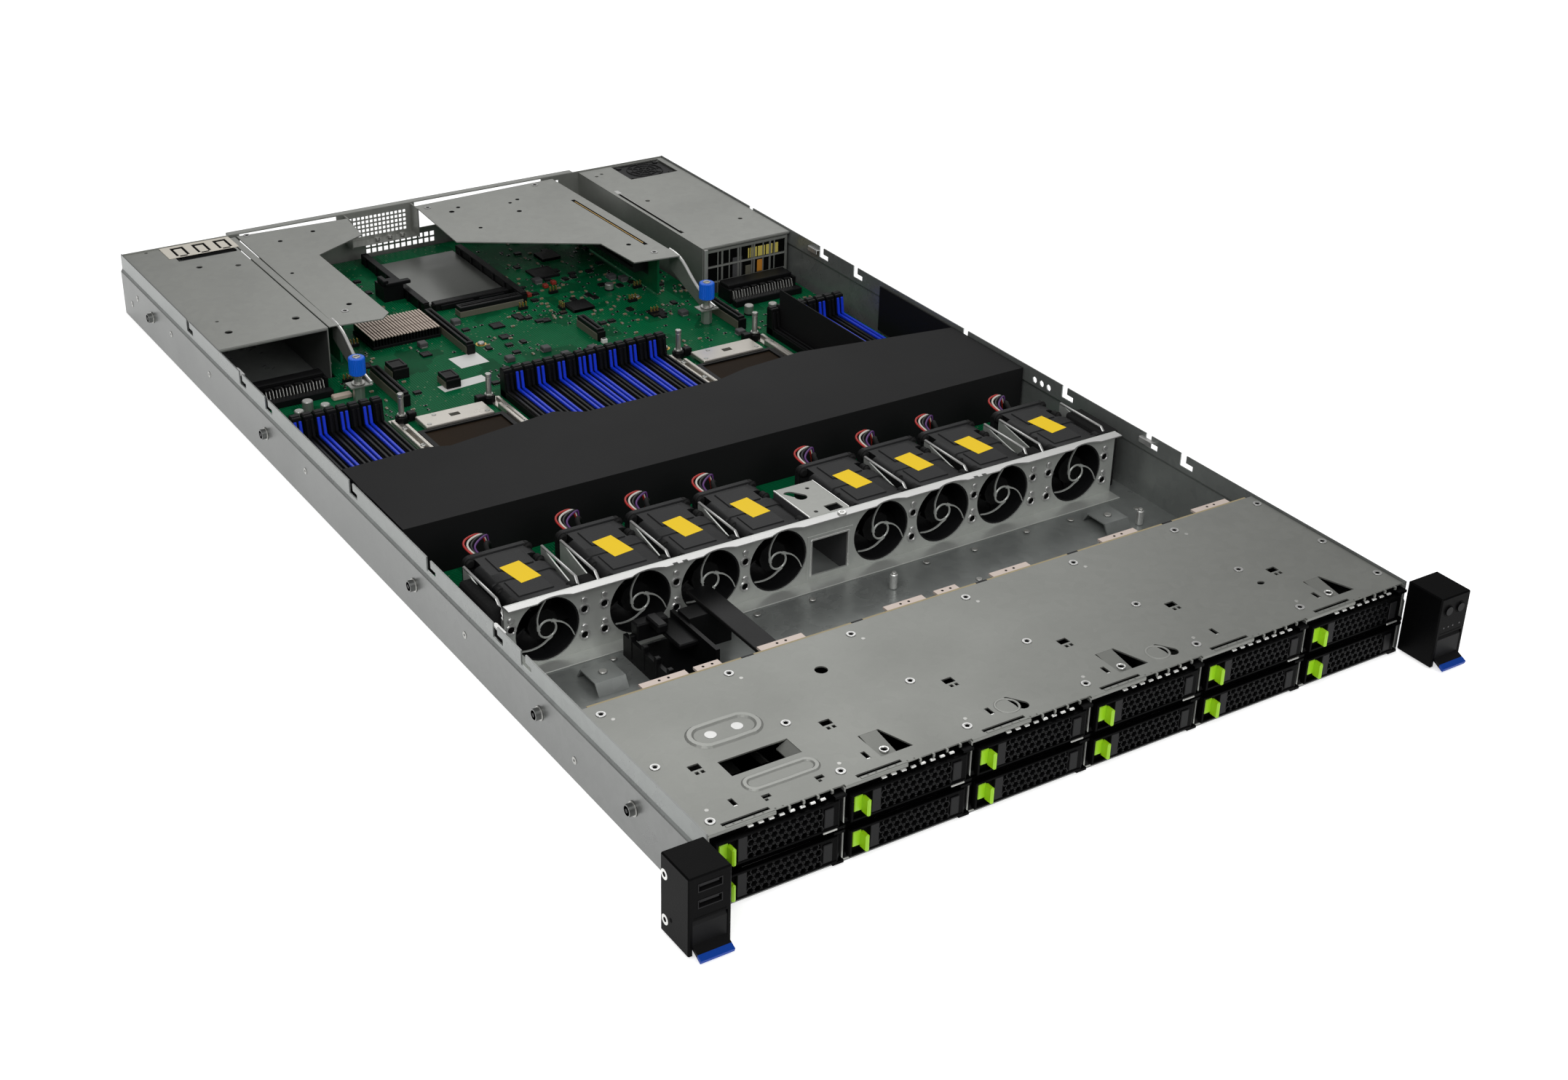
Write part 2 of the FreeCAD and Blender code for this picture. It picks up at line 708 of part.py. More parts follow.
def fan_housing(x):
    half = fan_size / 2
    cut = fan_corner_cut
    y0 = fan_front
    y1 = y0 + fan_length
    near = half - cut
    octagon = [(x - half, fan_z - near), (x - near, fan_z - half), (x + near, fan_z - half),
               (x + half, fan_z - near), (x + half, fan_z + near), (x + near, fan_z + half),
               (x - near, fan_z + half), (x - half, fan_z + near)]
    flanges = [box(x - half, x + half, y, y + fan_flange, fan_z - half, fan_z + half)
               for y in (y0, y1 - fan_flange)]
    body = join([front_profile(octagon, y0 + fan_flange, y1 - fan_flange)] + flanges)
    body = body.cut(prism_y(x, fan_z, fan_bore_r, fan_bore_sides, y0 - 1, y1 + 1))
    motor_y = y0 + rotor_from_fan_front + rotor_length + 1
    motor = prism_y(x, fan_z, motor_r, 6, motor_y, y1 - 1)
    strut = box(x - fan_bore_r - 0.6, x + fan_bore_r + 0.6, y1 - 5, y1 - 1, fan_z - motor_strut / 2,
                fan_z + motor_strut / 2)
    bearing = rod_y(x, fan_z, rotor_shaft_r + shaft_clearance, motor_y - 1, motor_y + 10)
    return join([body, motor, strut]).cut(bearing)


def fan_housings():
    save("fan_housings", [fan_housing(x) for x in fan_x])


def rotor_shape(x):
    y0 = fan_front + rotor_from_fan_front
    y1 = y0 + rotor_length
    hub = prism_y(x, fan_z, rotor_hub_r, 2 * rotor_blades, y0, y1)
    shaft = rod_y(x, fan_z, rotor_shaft_r, y1 - 1, y1 + 9)
    tip = fan_bore_r - rotor_tip_gap
    middle = (y0 + y1) / 2
    half = blade_thickness / 2
    blades = []
    for k in range(rotor_blades):
        blade = box(rotor_hub_r - 1, tip - 0.4, middle - rotor_length / 2 + 3, middle + rotor_length / 2 - 3,
                    -half, half)
        blade.rotate(FreeCAD.Vector(0, middle, 0), FreeCAD.Vector(1, 0, 0), blade_tilt)
        blade.rotate(FreeCAD.Vector(0, 0, 0), FreeCAD.Vector(0, 1, 0), k * 360 / rotor_blades)
        blade.translate(FreeCAD.Vector(x, 0, fan_z))
        blades.append(blade)
    return join([hub, shaft] + blades)


def rotors():
    for i, x in enumerate(fan_x):
        save("fan_rotor_" + str(i + 1), [rotor_shape(x)])


def fan_leads():
    pieces = []
    y0 = fan_front + fan_length
    z = fan_top - 4
    half = lead_width / 2
    bend = lead_reach / 2
    y1 = y0 + lead_reach
    outer = [(y0, z + half), (y0 + bend, z + half), (y1 + half, z - bend), (y1 + half, board_top)]
    inner = [(y1 - half, board_top), (y1 - half, z - bend), (y0 + bend, z - half), (y0, z - half)]
    for x in fan_x:
        pieces.append(side_profile(outer + inner, x + lead_from_middle - half, x + lead_from_middle + half))
    save("fan_leads", pieces)


def air_duct():
    top = [(duct_left, duct_from_front), (duct_right, duct_from_front)]
    top += [(x, duct_rear + reach) for x, reach in duct_edge]
    low = duct_low
    cover = slab(top, duct_top - duct_sheet, duct_top)
    skirt = box(duct_left, duct_right, duct_from_front, duct_from_front + duct_sheet, low, duct_top)
    left_wall = box(duct_left, duct_left + duct_sheet, duct_from_front, duct_flap_from_front, low,
                    duct_top - 5)
    right_wall = box(duct_right - duct_sheet, duct_right, duct_from_front, duct_side_from_front, low,
                     duct_top)
    wall_x = bank_right_first + memory_pitch / 2
    guide = box(wall_x - duct_wall_sheet / 2, wall_x + duct_wall_sheet / 2, duct_rear - 8, duct_wall_end,
                low, duct_top)
    save("air_duct", [join([cover, skirt, left_wall, right_wall, guide])])


def motherboard():
    inner = bay_inner - 2.0
    outline = [(-board_half_width, board_from_front), (board_half_width, board_from_front),
               (board_half_width, bay_from_front - 3), (inner, bay_from_front - 3), (inner, board_end),
               (-inner, board_end), (-inner, bay_from_front - 3), (-board_half_width, bay_from_front - 3)]
    save("motherboard", [slab(outline, board_bottom, board_top)])


def memory_socket(x):
    low = board_top
    rail = low + memory_rail_height
    tower = low + memory_tower_height
    front = memory_from_front
    rear = memory_end
    length = memory_tower_length
    points = [(front, low), (rear, low), (rear, tower), (rear - length + 2, tower), (rear - length, rail),
              (front + length, rail), (front + length - 2, tower), (front, tower)]
    body = side_profile(points, x - memory_width / 2, x + memory_width / 2)
    groove = box(x - memory_groove / 2, x + memory_groove / 2, front + 3, rear - 3,
                 rail - memory_groove_depth, tower + 1)
    return body.cut(groove)


def processor_socket(x):
    low = board_top
    body = box(x - socket_half_width, x + socket_half_width, socket_from_front, socket_end, low,
               low + socket_height)
    recess = box(x - socket_half_width + 4, x + socket_half_width - 4, socket_from_front + 5, socket_end - 5,
                 low + socket_height - 1.2, low + socket_height + 1)
    return body.cut(recess)


def board_sockets():
    pieces = []
    for first, count in ((bank_left_first, 8), (bank_middle_first, 16), (bank_right_first, 8)):
        pieces += [memory_socket(first + i * memory_pitch) for i in range(count)]
    pieces += [processor_socket(x) for x in socket_x]
    save("board_sockets", pieces)


def processor_frame(x):
    low = board_top
    y0 = socket_from_front - frame_border
    outer = box(x - frame_half_width, x + frame_half_width, y0, frame_end, low, low + frame_height)
    hole = box(x - socket_half_width - 0.4, x + socket_half_width + 0.4, socket_from_front - 0.4,
               socket_end + 0.4, low - 1, low + frame_height + 1)
    top = low + frame_height + bracket_height
    plate = box(x - bracket_half_width, x + bracket_half_width, bracket_from_front, bracket_end,
                low + frame_height, top)
    notch = box(x - 3, x + 3, bracket_from_front + 4, bracket_end - 4, low, top + 1)
    posts = []
    for side in (-1, 1):
        for y in (y0 + frame_border / 2, frame_post_rear):
            posts.append(prism_z(x + side * frame_post_x, y, frame_post_r, 6, low, low + frame_post_height))
    return join([carve(join([outer, plate]), [hole, notch])] + posts)


def heatsink():
    x0, x1, y0, y1 = heatsink_box
    low = board_top
    top = low + heatsink_height
    pitch = (x1 - x0) / heatsink_fins
    points = [(x0, low), (x1, low)]
    for i in reversed(range(heatsink_fins)):
        right = x0 + (i + 1) * pitch
        left = right - pitch * fin_share
        points += [(right, top), (left, top)]
        if i > 0:
            points += [(left, low + heatsink_base), (x0 + i * pitch, low + heatsink_base)]
        else:
            points += [(left, low + heatsink_base), (x0, low + heatsink_base)]
    return front_profile(points, y0, y1)


def riser_nuts():
    pieces = []
    for side in ("left", "right"):
        x, y = riser_screw[side]
        body = prism_z(x, y, nut_r, 6, board_top, riser_foot_z - 0.1)
        pieces.append(body.cut(post(x, y, screw_shank_r + 0.4, board_top + 2.0, riser_foot_z + 1)))
    return pieces


def board_brackets():
    x0, x1, y0, y1 = bay_plate
    low = board_top
    plate = box(x0, x1, y0, y1, low + bay_plate_height - bay_plate_sheet, low + bay_plate_height)
    sides = [box(x0, x0 + bay_plate_sheet, y0, y1, low, low + bay_plate_height),
             box(x1 - bay_plate_sheet, x1, y0, y1, low, low + bay_plate_height)]
    pieces = [processor_frame(x) for x in socket_x]
    pieces += [heatsink(), join([plate] + sides)]
    pieces += riser_nuts()
    save("board_brackets", pieces)


def slim_socket(x0, x1, y0, y1, height):
    low = board_top
    body = box(x0, x1, y0, y1, low, low + height)
    along_x = (x1 - x0) > (y1 - y0)
    if along_x:
        middle = (y0 + y1) / 2
        groove = (x0 + 2, x1 - 2, middle - slot_half, middle + slot_half)
    else:
        middle = (x0 + x1) / 2
        groove = (middle - slot_half, middle + slot_half, y0 + 2, y1 - 2)
    return body.cut(box(*groove, low + height - slot_depth, low + height + 1))


def edge_comb(x0, x1, y0, y1, height):
    low = board_top
    body = box(x0, x1, y0, y1, low, low + height)
    count = 8
    pitch = (x1 - x0) / count
    slots = [box(x0 + (i + 0.3) * pitch, x0 + (i + 0.7) * pitch, y0 - 1, y0 + 3, low + 3, low + height + 1)
             for i in range(count)]
    return carve(body, slots)


def board_connectors():
    low = board_top
    x0, x1, y0, y1 = bay_plate
    supply_x = upper_inner - bay_width / 2
    pieces = [slim_socket(*row) for row in slim_sockets]
    for middle, (left, right, front, rear) in ((-supply_x, comb_left), (supply_x, comb_right)):
        pieces.append(edge_comb(middle + left, middle + right, front, rear, comb_height))
    pieces += [box(x0 - guide_width - guide_gap, x0 - guide_gap, y0 - 8, y1 + 13, low, low + guide_height),
               box(x1 + guide_gap, x1 + guide_gap + guide_width, y0 - 24, y1 - 4, low, low + guide_height),
               box(x0 - guide_width - 16, x0 - guide_width - 1, y0 + 25, y0 + 41, low,
                   low + guide_height + 4)]
    pieces += [box(x, x + wide, y, y + deep, low, low + height) for x, wide, y, deep, height in chips]
    save("board_connectors", pieces)


def supply_bay(side):
    wall = box(bay_inner, bay_inner + sheet, bay_from_front, inner_rear, sheet, plate_top)
    top = box(bay_inner, upper_inner - 0.2, bay_from_front, inner_rear, plate_top - sheet, plate_top)
    slit = box(bay_inner + 2.5, bay_inner + 5.5, slit_front, slit_rear, plate_top - 2, plate_top + 1)
    if side > 0:
        notch = box(bay_inner + 28, upper_inner - 5, body_length - bay_notch_from_rear, inner_rear - 1.5,
                    plate_top - 2, plate_top + 1)
        shape = carve(join([wall, top]), [notch, slit])
    else:
        notch = box(bay_inner + 2, bay_inner + 44, blank_from_front + 3, inner_rear + 1, plate_top - 2,
                    plate_top + 1)
        holes = [prism_z(bay_inner + x, bay_from_front + y, 2.4, 8, plate_top - 2, plate_top + 1)
                 for x, y in bay_holes]
        shape = carve(join([wall, top]), [notch] + holes)
    return shape if side > 0 else mirrored(shape)


def psu_bays():
    save("psu_bays", [supply_bay(-1), supply_bay(1)])


def psu_blank():
    x0 = -upper_inner + 2.4
    x1 = -bay_inner - 2.4
    z0 = sheet + 1.4
    z1 = plate_bottom - 0.9
    face = box(x0, x1, inner_rear - 1.4, body_length + 1.0, z0, z1)
    roof = box(x0, x1, blank_from_front, inner_rear - 1.4, z1 - sheet, z1)
    base = box(x0, x1, blank_from_front, inner_rear - 1.4, z0, z0 + sheet)
    slots = [box(x, x + 4, blank_from_front + 10, inner_rear - 6, z1 - 2, z1 + 1)
             for x in (x1 - 38, x1 - 24, x1 - 10)]
    vents = grid_holes(x0 + 6, x1 - 6, z0 + 5, z1 - 5, 8.0, 5.2, inner_rear - 3, body_length + 2)
    save("psu_blank", [carve(join([face, roof, base]), slots + vents)])


def psu_module():
    x0 = module_left
    x1 = module_right
    z0 = module_bottom
    z1 = module_top
    y0 = bay_from_front + 1.0
    y1 = body_length + module_proud
    body = box(x0, x1, y0, y1, z0, z1)
    pocket_x0 = x0 + 1.2
    pocket_x1 = x1 - 1.2
    pitch_x = (pocket_x1 - pocket_x0) / module_grille_columns
    pitch_z = (module_height - 2.4) / module_grille_rows
    cuts = [box(pocket_x0, pocket_x1, y0 + 1.2, y0 + module_grille_depth, z0 + 1.2, z1 - 1.2)]
    for i in range(module_grille_columns):
        for j in range(module_grille_rows):
            x = pocket_x0 + i * pitch_x
            z = z0 + 1.2 + j * pitch_z
            half = module_grille_bar / 2
            cuts.append(box(x + half, x + pitch_x - half, y0 - 1, y0 + 2, z + half, z + pitch_z - half))
    inlet_x = x0 + 14
    cuts.append(box(inlet_x - inlet_width / 2, inlet_x + inlet_width / 2, y1 - inlet_depth, y1 + 1,
                    z0 + 4, z0 + 4 + inlet_height))
    fan_x_here = x1 - 22
    ears = []
    for side in (-1, 1):
        x = fan_x_here + side * (handle_width / 2)
        inner = handle_bar / 2 + 0.3
        near = x + side * inner
        far = near + side * 2.0
        ears.append(box(min(near, far), max(near, far), y1 - 1, y1 + handle_ear_reach, handle_pivot_z - 3,
                        handle_pivot_z + 3))
    hole = rod_x(y1 + handle_pivot_reach, handle_pivot_z, handle_pin_r + handle_clearance, x0, x1)
    whole = join([carve(body, cuts)] + [ear.cut(hole) for ear in ears])
    save("psu_module", [whole])
    save("psu_handle", [psu_handle(fan_x_here, y1 + handle_pivot_reach)])


def psu_handle(x, y):
    half = handle_width / 2
    bar = handle_bar / 2
    z0 = handle_pivot_z - handle_drop
    legs = [box(x - half - bar, x - half + bar, y - bar, y + bar, z0, handle_pivot_z + bar),
            box(x + half - bar, x + half + bar, y - bar, y + bar, z0, handle_pivot_z + bar)]
    grip = box(x - half - bar, x + half + bar, y - bar, y + bar, z0 - bar, z0 + bar)
    reach = half + bar + 0.3 + 1.8
    pins = [rod_x(y, handle_pivot_z, handle_pin_r, x - reach, x - half),
            rod_x(y, handle_pivot_z, handle_pin_r, x + half, x + reach)]
    return join(legs + [grip] + pins)


def riser_leg(side):
    x, y = riser_screw[side]
    leg_x = riser_leg_x[side]
    top = plate_top
    start = body_length - riser_leg_from_rear
    foot_top = riser_foot_z + riser_sheet
    points = [(start + 12, top - riser_sheet), (start, top - riser_sheet), (start - 10, top - 5),
              (start - 18, top - 12), (y + 7, foot_top), (y - 5, foot_top), (y - 5, riser_foot_z),
              (y + 16, riser_foot_z - 5), (start - 10, top - 22), (start + 12, top - 14)]
    leg = side_profile(points, leg_x - riser_sheet / 2, leg_x + riser_sheet / 2)
    low = min(x - riser_foot_r, leg_x - riser_sheet / 2)
    high = max(x + riser_foot_r, leg_x + riser_sheet / 2)
    foot = box(low, high, y - 5, y + 5, riser_foot_z, foot_top)
    hole = post(x, y, screw_shank_r + screw_clearance, riser_foot_z - 1, riser_foot_z + 2)
    return leg, foot, hole


def riser_card(side):
    x = riser_card_x[side]
    low = board_top + 2.0
    rear, front = [body_length - reach for reach in riser_card_from_rear]
    card = box(x, x + riser_card_thickness, front, rear, low, plate_top - riser_sheet)
    inward = 1 if side == "left" else -1
    near = x + riser_card_thickness if inward > 0 else x - riser_slot_reach
    slot_rear, slot_front = [body_length - reach for reach in riser_slot_from_rear]
    middle = riser_slot_bottom + riser_slot_height / 2
    slot = box(near, near + riser_slot_reach, slot_front, slot_rear, riser_slot_bottom,
               riser_slot_bottom + riser_slot_height)
    mouth = near + 5.0 if inward > 0 else near - 1.0
    half = riser_slot_mouth / 2
    slot = slot.cut(box(mouth, mouth + 5.0, slot_front + 2, slot_rear - 2, middle - half, middle + half))
    return card, slot


def riser(side, outline):
    corners = [(x, body_length - reach) for x, reach in outline]
    plate = slab(corners, plate_top - riser_sheet, plate_top)
    leg, foot, hole = riser_leg(side)
    bracket = join([plate, leg, foot]).cut(hole)
    card, slot = riser_card(side)
    save("riser_" + side, [bracket, card, slot])


def thumbscrew(side):
    x, y = riser_screw[side]
    cap = prism_z(x, y, screw_cap_r, 18, screw_cap_bottom, screw_cap_top)
    neck = prism_z(x, y, screw_neck_r, 10, riser_foot_z + riser_sheet + 0.3, screw_cap_bottom)
    shank = post(x, y, screw_shank_r, board_top + 3.0, riser_foot_z + riser_sheet + 1)
    save("thumbscrew_" + side, [join([cap, neck, shank])])


def cable_holder():
    y0 = cage_depth + backplane_thickness + 20
    y1 = fan_wall_from_front - wall_foot - 4
    x0, x1 = holder_span
    wall = holder_wall
    base = box(x0, x1, y0, y1, sheet, 3.0)
    walls = [box(x0, x0 + wall, y0, y1, 3.0, 14.0), box(x1 - wall, x1, y0 + 22, y1, 3.0, 20.0)]
    near = cage_depth + backplane_thickness + 1
    ribbon = box(ribbon_span[0], ribbon_span[1], near, y1 + 8, ribbon_z, ribbon_z + ribbon_thickness)
    clip = box(x1, ribbon_span[1], y1 - 16, y1 - 4, sheet, ribbon_z - 0.2)
    save("cable_holder", [join([base] + walls + [clip]), ribbon])


def ear_block(side):
    inner = half_width + ear_flange_gap
    outer = half_width + ear_width
    block = box(inner, outer, -ear_depth, 0, ear_bottom, body_height)
    tongue = box(half_width, half_width + 2.0, -1.0, 16.0, 4.0, body_height - 4)
    latch_top = ear_latch_bottom + ear_latch_height
    recess = box(inner + ear_latch_side, outer - ear_latch_side, -ear_depth - 1,
                 -ear_depth + ear_latch_depth + 1.0, ear_bottom - 1, latch_top + 0.8)
    y, z = ear_pivot()
    pins = rod_x(y, z, ear_pin_r + ear_pin_clearance, inner + 0.5, outer - 0.5)
    rack_hole = rod_y(rack_hole_x, rack_hole_z, rack_hole_r, -ear_depth, 1)
    return carve(join([block, tongue]), [recess, pins, rack_hole])


def ear_pivot():
    return -ear_depth + 3.0, ear_latch_bottom + ear_latch_height - 2.4


def ear_latch(side):
    inner = half_width + ear_flange_gap + ear_latch_side + ear_pin_gap
    outer = half_width + ear_width - ear_latch_side - ear_pin_gap
    y0 = -ear_depth
    y, z = ear_pivot()
    top = z + 2.2
    points = [(y0 + 0.2, ear_latch_bottom + 2.2), (y0 + 0.2, top - 1.6), (y0 + 1.4, top), (y + 1.4, top),
              (y + 2.0, top - 1.6), (y + 2.0, z - 3), (y0 + 2.2, z - 5), (y0 + 2.2, ear_latch_bottom + 1.4),
              (-latch_reach + 0.6, ear_bottom + 0.6), (-latch_reach, ear_bottom + 2.4)]
    plate = side_profile(points, inner, outer)
    pins = rod_x(y, z, ear_pin_r, inner - ear_pin_length - ear_pin_gap, outer + ear_pin_length + ear_pin_gap)
    return join([plate, pins])


def ears():
    left = ear_block("left")
    cuts = []
    tongues = []
    middle = half_width + ear_width / 2
    for z in port_z:
        half = port_width / 2
        cuts.append(box(middle - half, middle + half, -ear_depth - 1, -ear_depth + port_depth,
                        z - port_height / 2, z + port_height / 2))
        tongues.append(box(middle - half + 1, middle + half - 1, -ear_depth + 0.6,
                           -ear_depth + port_depth + 0.5, z - port_tongue / 2, z + port_tongue / 2))
    save("ear_left", [mirrored(join([carve(left, cuts)] + tongues))])
    right = ear_block("right")
    holes = [rod_y(x, button_z, button_r + button_gap, -ear_depth - 1, -ear_depth + 6) for x in button_x]
    save("ear_right", [carve(right, holes)])
    save("ear_latch_left", [mirrored(ear_latch("left"))])
    save("ear_latch_right", [ear_latch("right")])
    for name, x in zip(("power_button", "locator_button"), button_x):
        cap = rod_y(x, button_z, button_r, -ear_depth - button_proud, -ear_depth + 6 - button_travel - 0.3)
        save(name, [cap])


os.makedirs("parts", exist_ok=True)
chassis_pan()
rear_panel()
drive_cage()
cage_top_plate()
trays()
backplane()
fan_wall()
fan_housings()
rotors()
fan_leads()
air_duct()
motherboard()
board_sockets()
board_brackets()
board_connectors()
psu_bays()
psu_blank()
psu_module()
riser("left", riser_left_outline)
riser("right", riser_right_outline)
thumbscrew("left")
thumbscrew("right")
cable_holder()
ears()
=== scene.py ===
import json
import math
import random

import bpy
from mathutils import Matrix, Vector

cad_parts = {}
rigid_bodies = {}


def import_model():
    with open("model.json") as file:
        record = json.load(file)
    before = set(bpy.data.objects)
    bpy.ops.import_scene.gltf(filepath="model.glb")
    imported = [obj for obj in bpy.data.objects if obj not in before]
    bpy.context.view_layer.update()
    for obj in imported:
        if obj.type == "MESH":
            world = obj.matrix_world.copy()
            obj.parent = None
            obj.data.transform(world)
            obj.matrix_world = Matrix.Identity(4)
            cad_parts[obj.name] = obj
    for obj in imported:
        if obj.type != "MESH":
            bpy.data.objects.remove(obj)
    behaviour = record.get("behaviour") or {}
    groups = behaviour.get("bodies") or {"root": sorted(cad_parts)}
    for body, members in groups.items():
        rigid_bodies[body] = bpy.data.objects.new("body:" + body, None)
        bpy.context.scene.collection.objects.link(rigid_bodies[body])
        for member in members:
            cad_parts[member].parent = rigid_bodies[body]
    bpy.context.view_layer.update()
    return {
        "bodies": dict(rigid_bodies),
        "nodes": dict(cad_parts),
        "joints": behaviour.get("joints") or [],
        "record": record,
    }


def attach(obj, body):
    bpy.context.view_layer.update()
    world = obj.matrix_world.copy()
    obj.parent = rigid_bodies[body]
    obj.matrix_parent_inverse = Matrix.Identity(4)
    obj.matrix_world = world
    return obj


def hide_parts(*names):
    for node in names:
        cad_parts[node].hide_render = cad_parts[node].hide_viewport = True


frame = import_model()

nodes = frame["nodes"]
mm = 0.001
frontFace = -0.3812  # the drive cage's front face along Y, in metres
print("frame loaded,", len(nodes), "nodes")


# Places are in millimetres, with Y from the drive cage's front face
def at(x, y, z):
    return Vector((x * mm, y * mm + frontFace, z * mm))


def deselectAll():
    bpy.ops.object.select_all(action="DESELECT")


def makeActive(piece):
    deselectAll()
    piece.select_set(True)
    bpy.context.view_layer.objects.active = piece


def settleNew(name, finish):
    piece = bpy.context.object
    bpy.ops.object.transform_apply(location=True, rotation=True, scale=True)
    piece.name = piece.data.name = name
    piece.data.materials.append(finish)
    return piece


def applyModifier(piece, modifier):
    makeActive(piece)
    bpy.ops.object.modifier_apply(modifier=modifier.name)


def roundEdges(piece, width, segments=1, angle=40):
    bevel = piece.modifiers.new("edgeRound", "BEVEL")
    bevel.width = width * mm
    bevel.segments = segments
    bevel.limit_method = "ANGLE"
    bevel.angle_limit = math.radians(angle)
    applyModifier(piece, bevel)


def block(name, finish, x, y, z, rounding=0.0, turn=0.0):
    deselectAll()
    low, high = at(x[0], y[0], z[0]), at(x[1], y[1], z[1])
    bpy.ops.mesh.primitive_cube_add(size=1, location=(low + high) / 2, rotation=(0, 0, math.radians(turn)))
    bpy.context.object.scale = high - low
    piece = settleNew(name, finish)
    if rounding:
        roundEdges(piece, rounding)
    return piece


def rod(name, finish, centre, radius, length, axis="Z", sides=20, rounding=0.0):
    deselectAll()
    turns = {"X": (0, math.pi / 2, 0), "Y": (math.pi / 2, 0, 0), "Z": (0, 0, 0)}
    bpy.ops.mesh.primitive_cylinder_add(vertices=sides, radius=radius * mm, depth=length * mm,
                                        location=at(*centre), rotation=turns[axis])
    piece = settleNew(name, finish)
    if rounding:
        roundEdges(piece, rounding)
    return piece


def disc(name, finish, centre, radius, length, sides, rounding):
    return rod(name, finish, centre, radius, length, "Z", sides, rounding)


def ring(name, finish, centre, radius, wire, axis="Z", around=20, section=6):
    deselectAll()
    turns = {"X": (0, math.pi / 2, 0), "Y": (math.pi / 2, 0, 0), "Z": (0, 0, 0)}
    bpy.ops.mesh.primitive_torus_add(major_radius=radius * mm, minor_radius=wire * mm, major_segments=around,
                                     minor_segments=section, location=at(*centre), rotation=turns[axis])
    return settleNew(name, finish)


def editWith(piece, wantedFace):
    makeActive(piece)
    bpy.ops.object.mode_set(mode="EDIT")
    bpy.ops.mesh.select_mode(type="FACE")
    bpy.ops.mesh.select_all(action="DESELECT")
    bpy.ops.object.mode_set(mode="OBJECT")
    for face in piece.data.polygons:
        face.select = bool(wantedFace(face))
    bpy.ops.object.mode_set(mode="EDIT")


def leaveEdit():
    bpy.ops.object.mode_set(mode="OBJECT")


def sinkFace(piece, wantedFace, border, depth):
    # a border inside the face, then the middle pushed in
    editWith(piece, wantedFace)
    bpy.ops.mesh.inset(thickness=border * mm, depth=0)
    bpy.ops.mesh.inset(thickness=0.02 * mm, depth=-depth * mm)
    leaveEdit()


def cutCorners(piece, axis, width, segments=1):
    # bevels only the edges that run along one axis
    makeActive(piece)
    bpy.ops.object.mode_set(mode="EDIT")
    bpy.ops.mesh.select_mode(type="EDGE")
    bpy.ops.mesh.select_all(action="DESELECT")
    bpy.ops.object.mode_set(mode="OBJECT")
    corners = piece.data.vertices
    for edge in piece.data.edges:
        run = corners[edge.vertices[0]].co - corners[edge.vertices[1]].co
        edge.select = abs(run[axis]) > 0.95 * run.length
    bpy.ops.object.mode_set(mode="EDIT")
    bpy.ops.mesh.bevel(offset=width * mm, segments=segments, affect="EDGES")
    leaveEdit()


def topFace(face):
    return face.normal.z > 0.9


def editPoints(piece, wantedPoint):
    makeActive(piece)
    bpy.ops.object.mode_set(mode="EDIT")
    bpy.ops.mesh.select_mode(type="VERT")
    bpy.ops.mesh.select_all(action="DESELECT")
    bpy.ops.object.mode_set(mode="OBJECT")
    for point in piece.data.vertices:
        point.select = bool(wantedPoint(point.co))
    bpy.ops.object.mode_set(mode="EDIT")


def pushPoints(piece, wantedPoint, x=0.0, y=0.0, z=0.0):
    editPoints(piece, wantedPoint)
    bpy.ops.transform.translate(value=(x * mm, y * mm, z * mm))
    leaveEdit()


def carve(piece, tool):
    cut = piece.modifiers.new("carve", "BOOLEAN")
    cut.operation = "DIFFERENCE"
    cut.solver = "EXACT"
    cut.object = tool
    applyModifier(piece, cut)
    bpy.data.objects.remove(tool)


def carveAll(piece, tools):
    carve(piece, joined("tools", tools))


def joined(name, parts):
    deselectAll()
    for part in parts:
        part.select_set(True)
    bpy.context.view_layer.objects.active = parts[0]
    if len(parts) > 1:
        bpy.ops.object.join()
    whole = bpy.context.object
    whole.name = whole.data.name = name
    return whole


def copied(piece, x=0.0, y=0.0, z=0.0, turn=None):
    # turn is a 4x4 matrix that is used before the move
    twin = piece.copy()
    twin.data = piece.data.copy()
    bpy.context.scene.collection.objects.link(twin)
    if turn is not None:
        twin.data.transform(turn)
    twin.data.transform(Matrix.Translation(Vector((x, y, z)) * mm))
    return twin


def planted(name, model, places):
    # the model stands at (0, 0, 0); a place is (x, y, z, degrees about Z)
    parts = []
    for x, y, z, degrees in places:
        turn = Matrix.Rotation(math.radians(degrees), 4, "Z")
        parts.append(toFront(copied(model, x, y, z, turn=turn)))
    discard(model)
    return joined(name, parts)


def atZero(piece):
    piece.data.transform(Matrix.Translation(Vector((0, -frontFace, 0))))
    return piece


def toFront(piece):
    piece.data.transform(Matrix.Translation(Vector((0, frontFace, 0))))
    return piece


def turned(piece, place, degrees, axis):
    # turned about a place of the part
    piece.data.transform(Matrix.Translation(-at(*place)))
    piece.data.transform(Matrix.Rotation(math.radians(degrees), 4, axis))
    piece.data.transform(Matrix.Translation(at(*place)))
    return piece


def discard(*pieces):
    for piece in pieces:
        bpy.data.objects.remove(piece)


def cutBox(x, y, z):
    return block("cut", zincSheet, x, y, z)


def cutRod(centre, radius, length, sides=20):
    return rod("cut", zincSheet, centre, radius, length, "Z", sides)


def about(middle, reach):
    return (middle - reach, middle + reach)


def past(axis, place):
    # for pushPoints: the points beyond a place along X, Y or Z
    index = "XYZ".index(axis)
    return lambda point: point[index] > at(place, place, place)[index]


def before(axis, place):
    index = "XYZ".index(axis)
    return lambda point: point[index] < at(place, place, place)[index]


def dress(piece, body, slotName, *replaced):
    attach(piece, body)
    if replaced:
        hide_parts(*replaced)
    return piece


def smoothByAngle(piece, degrees=35):
    makeActive(piece)
    bpy.ops.object.shade_smooth_by_angle(angle=math.radians(degrees))


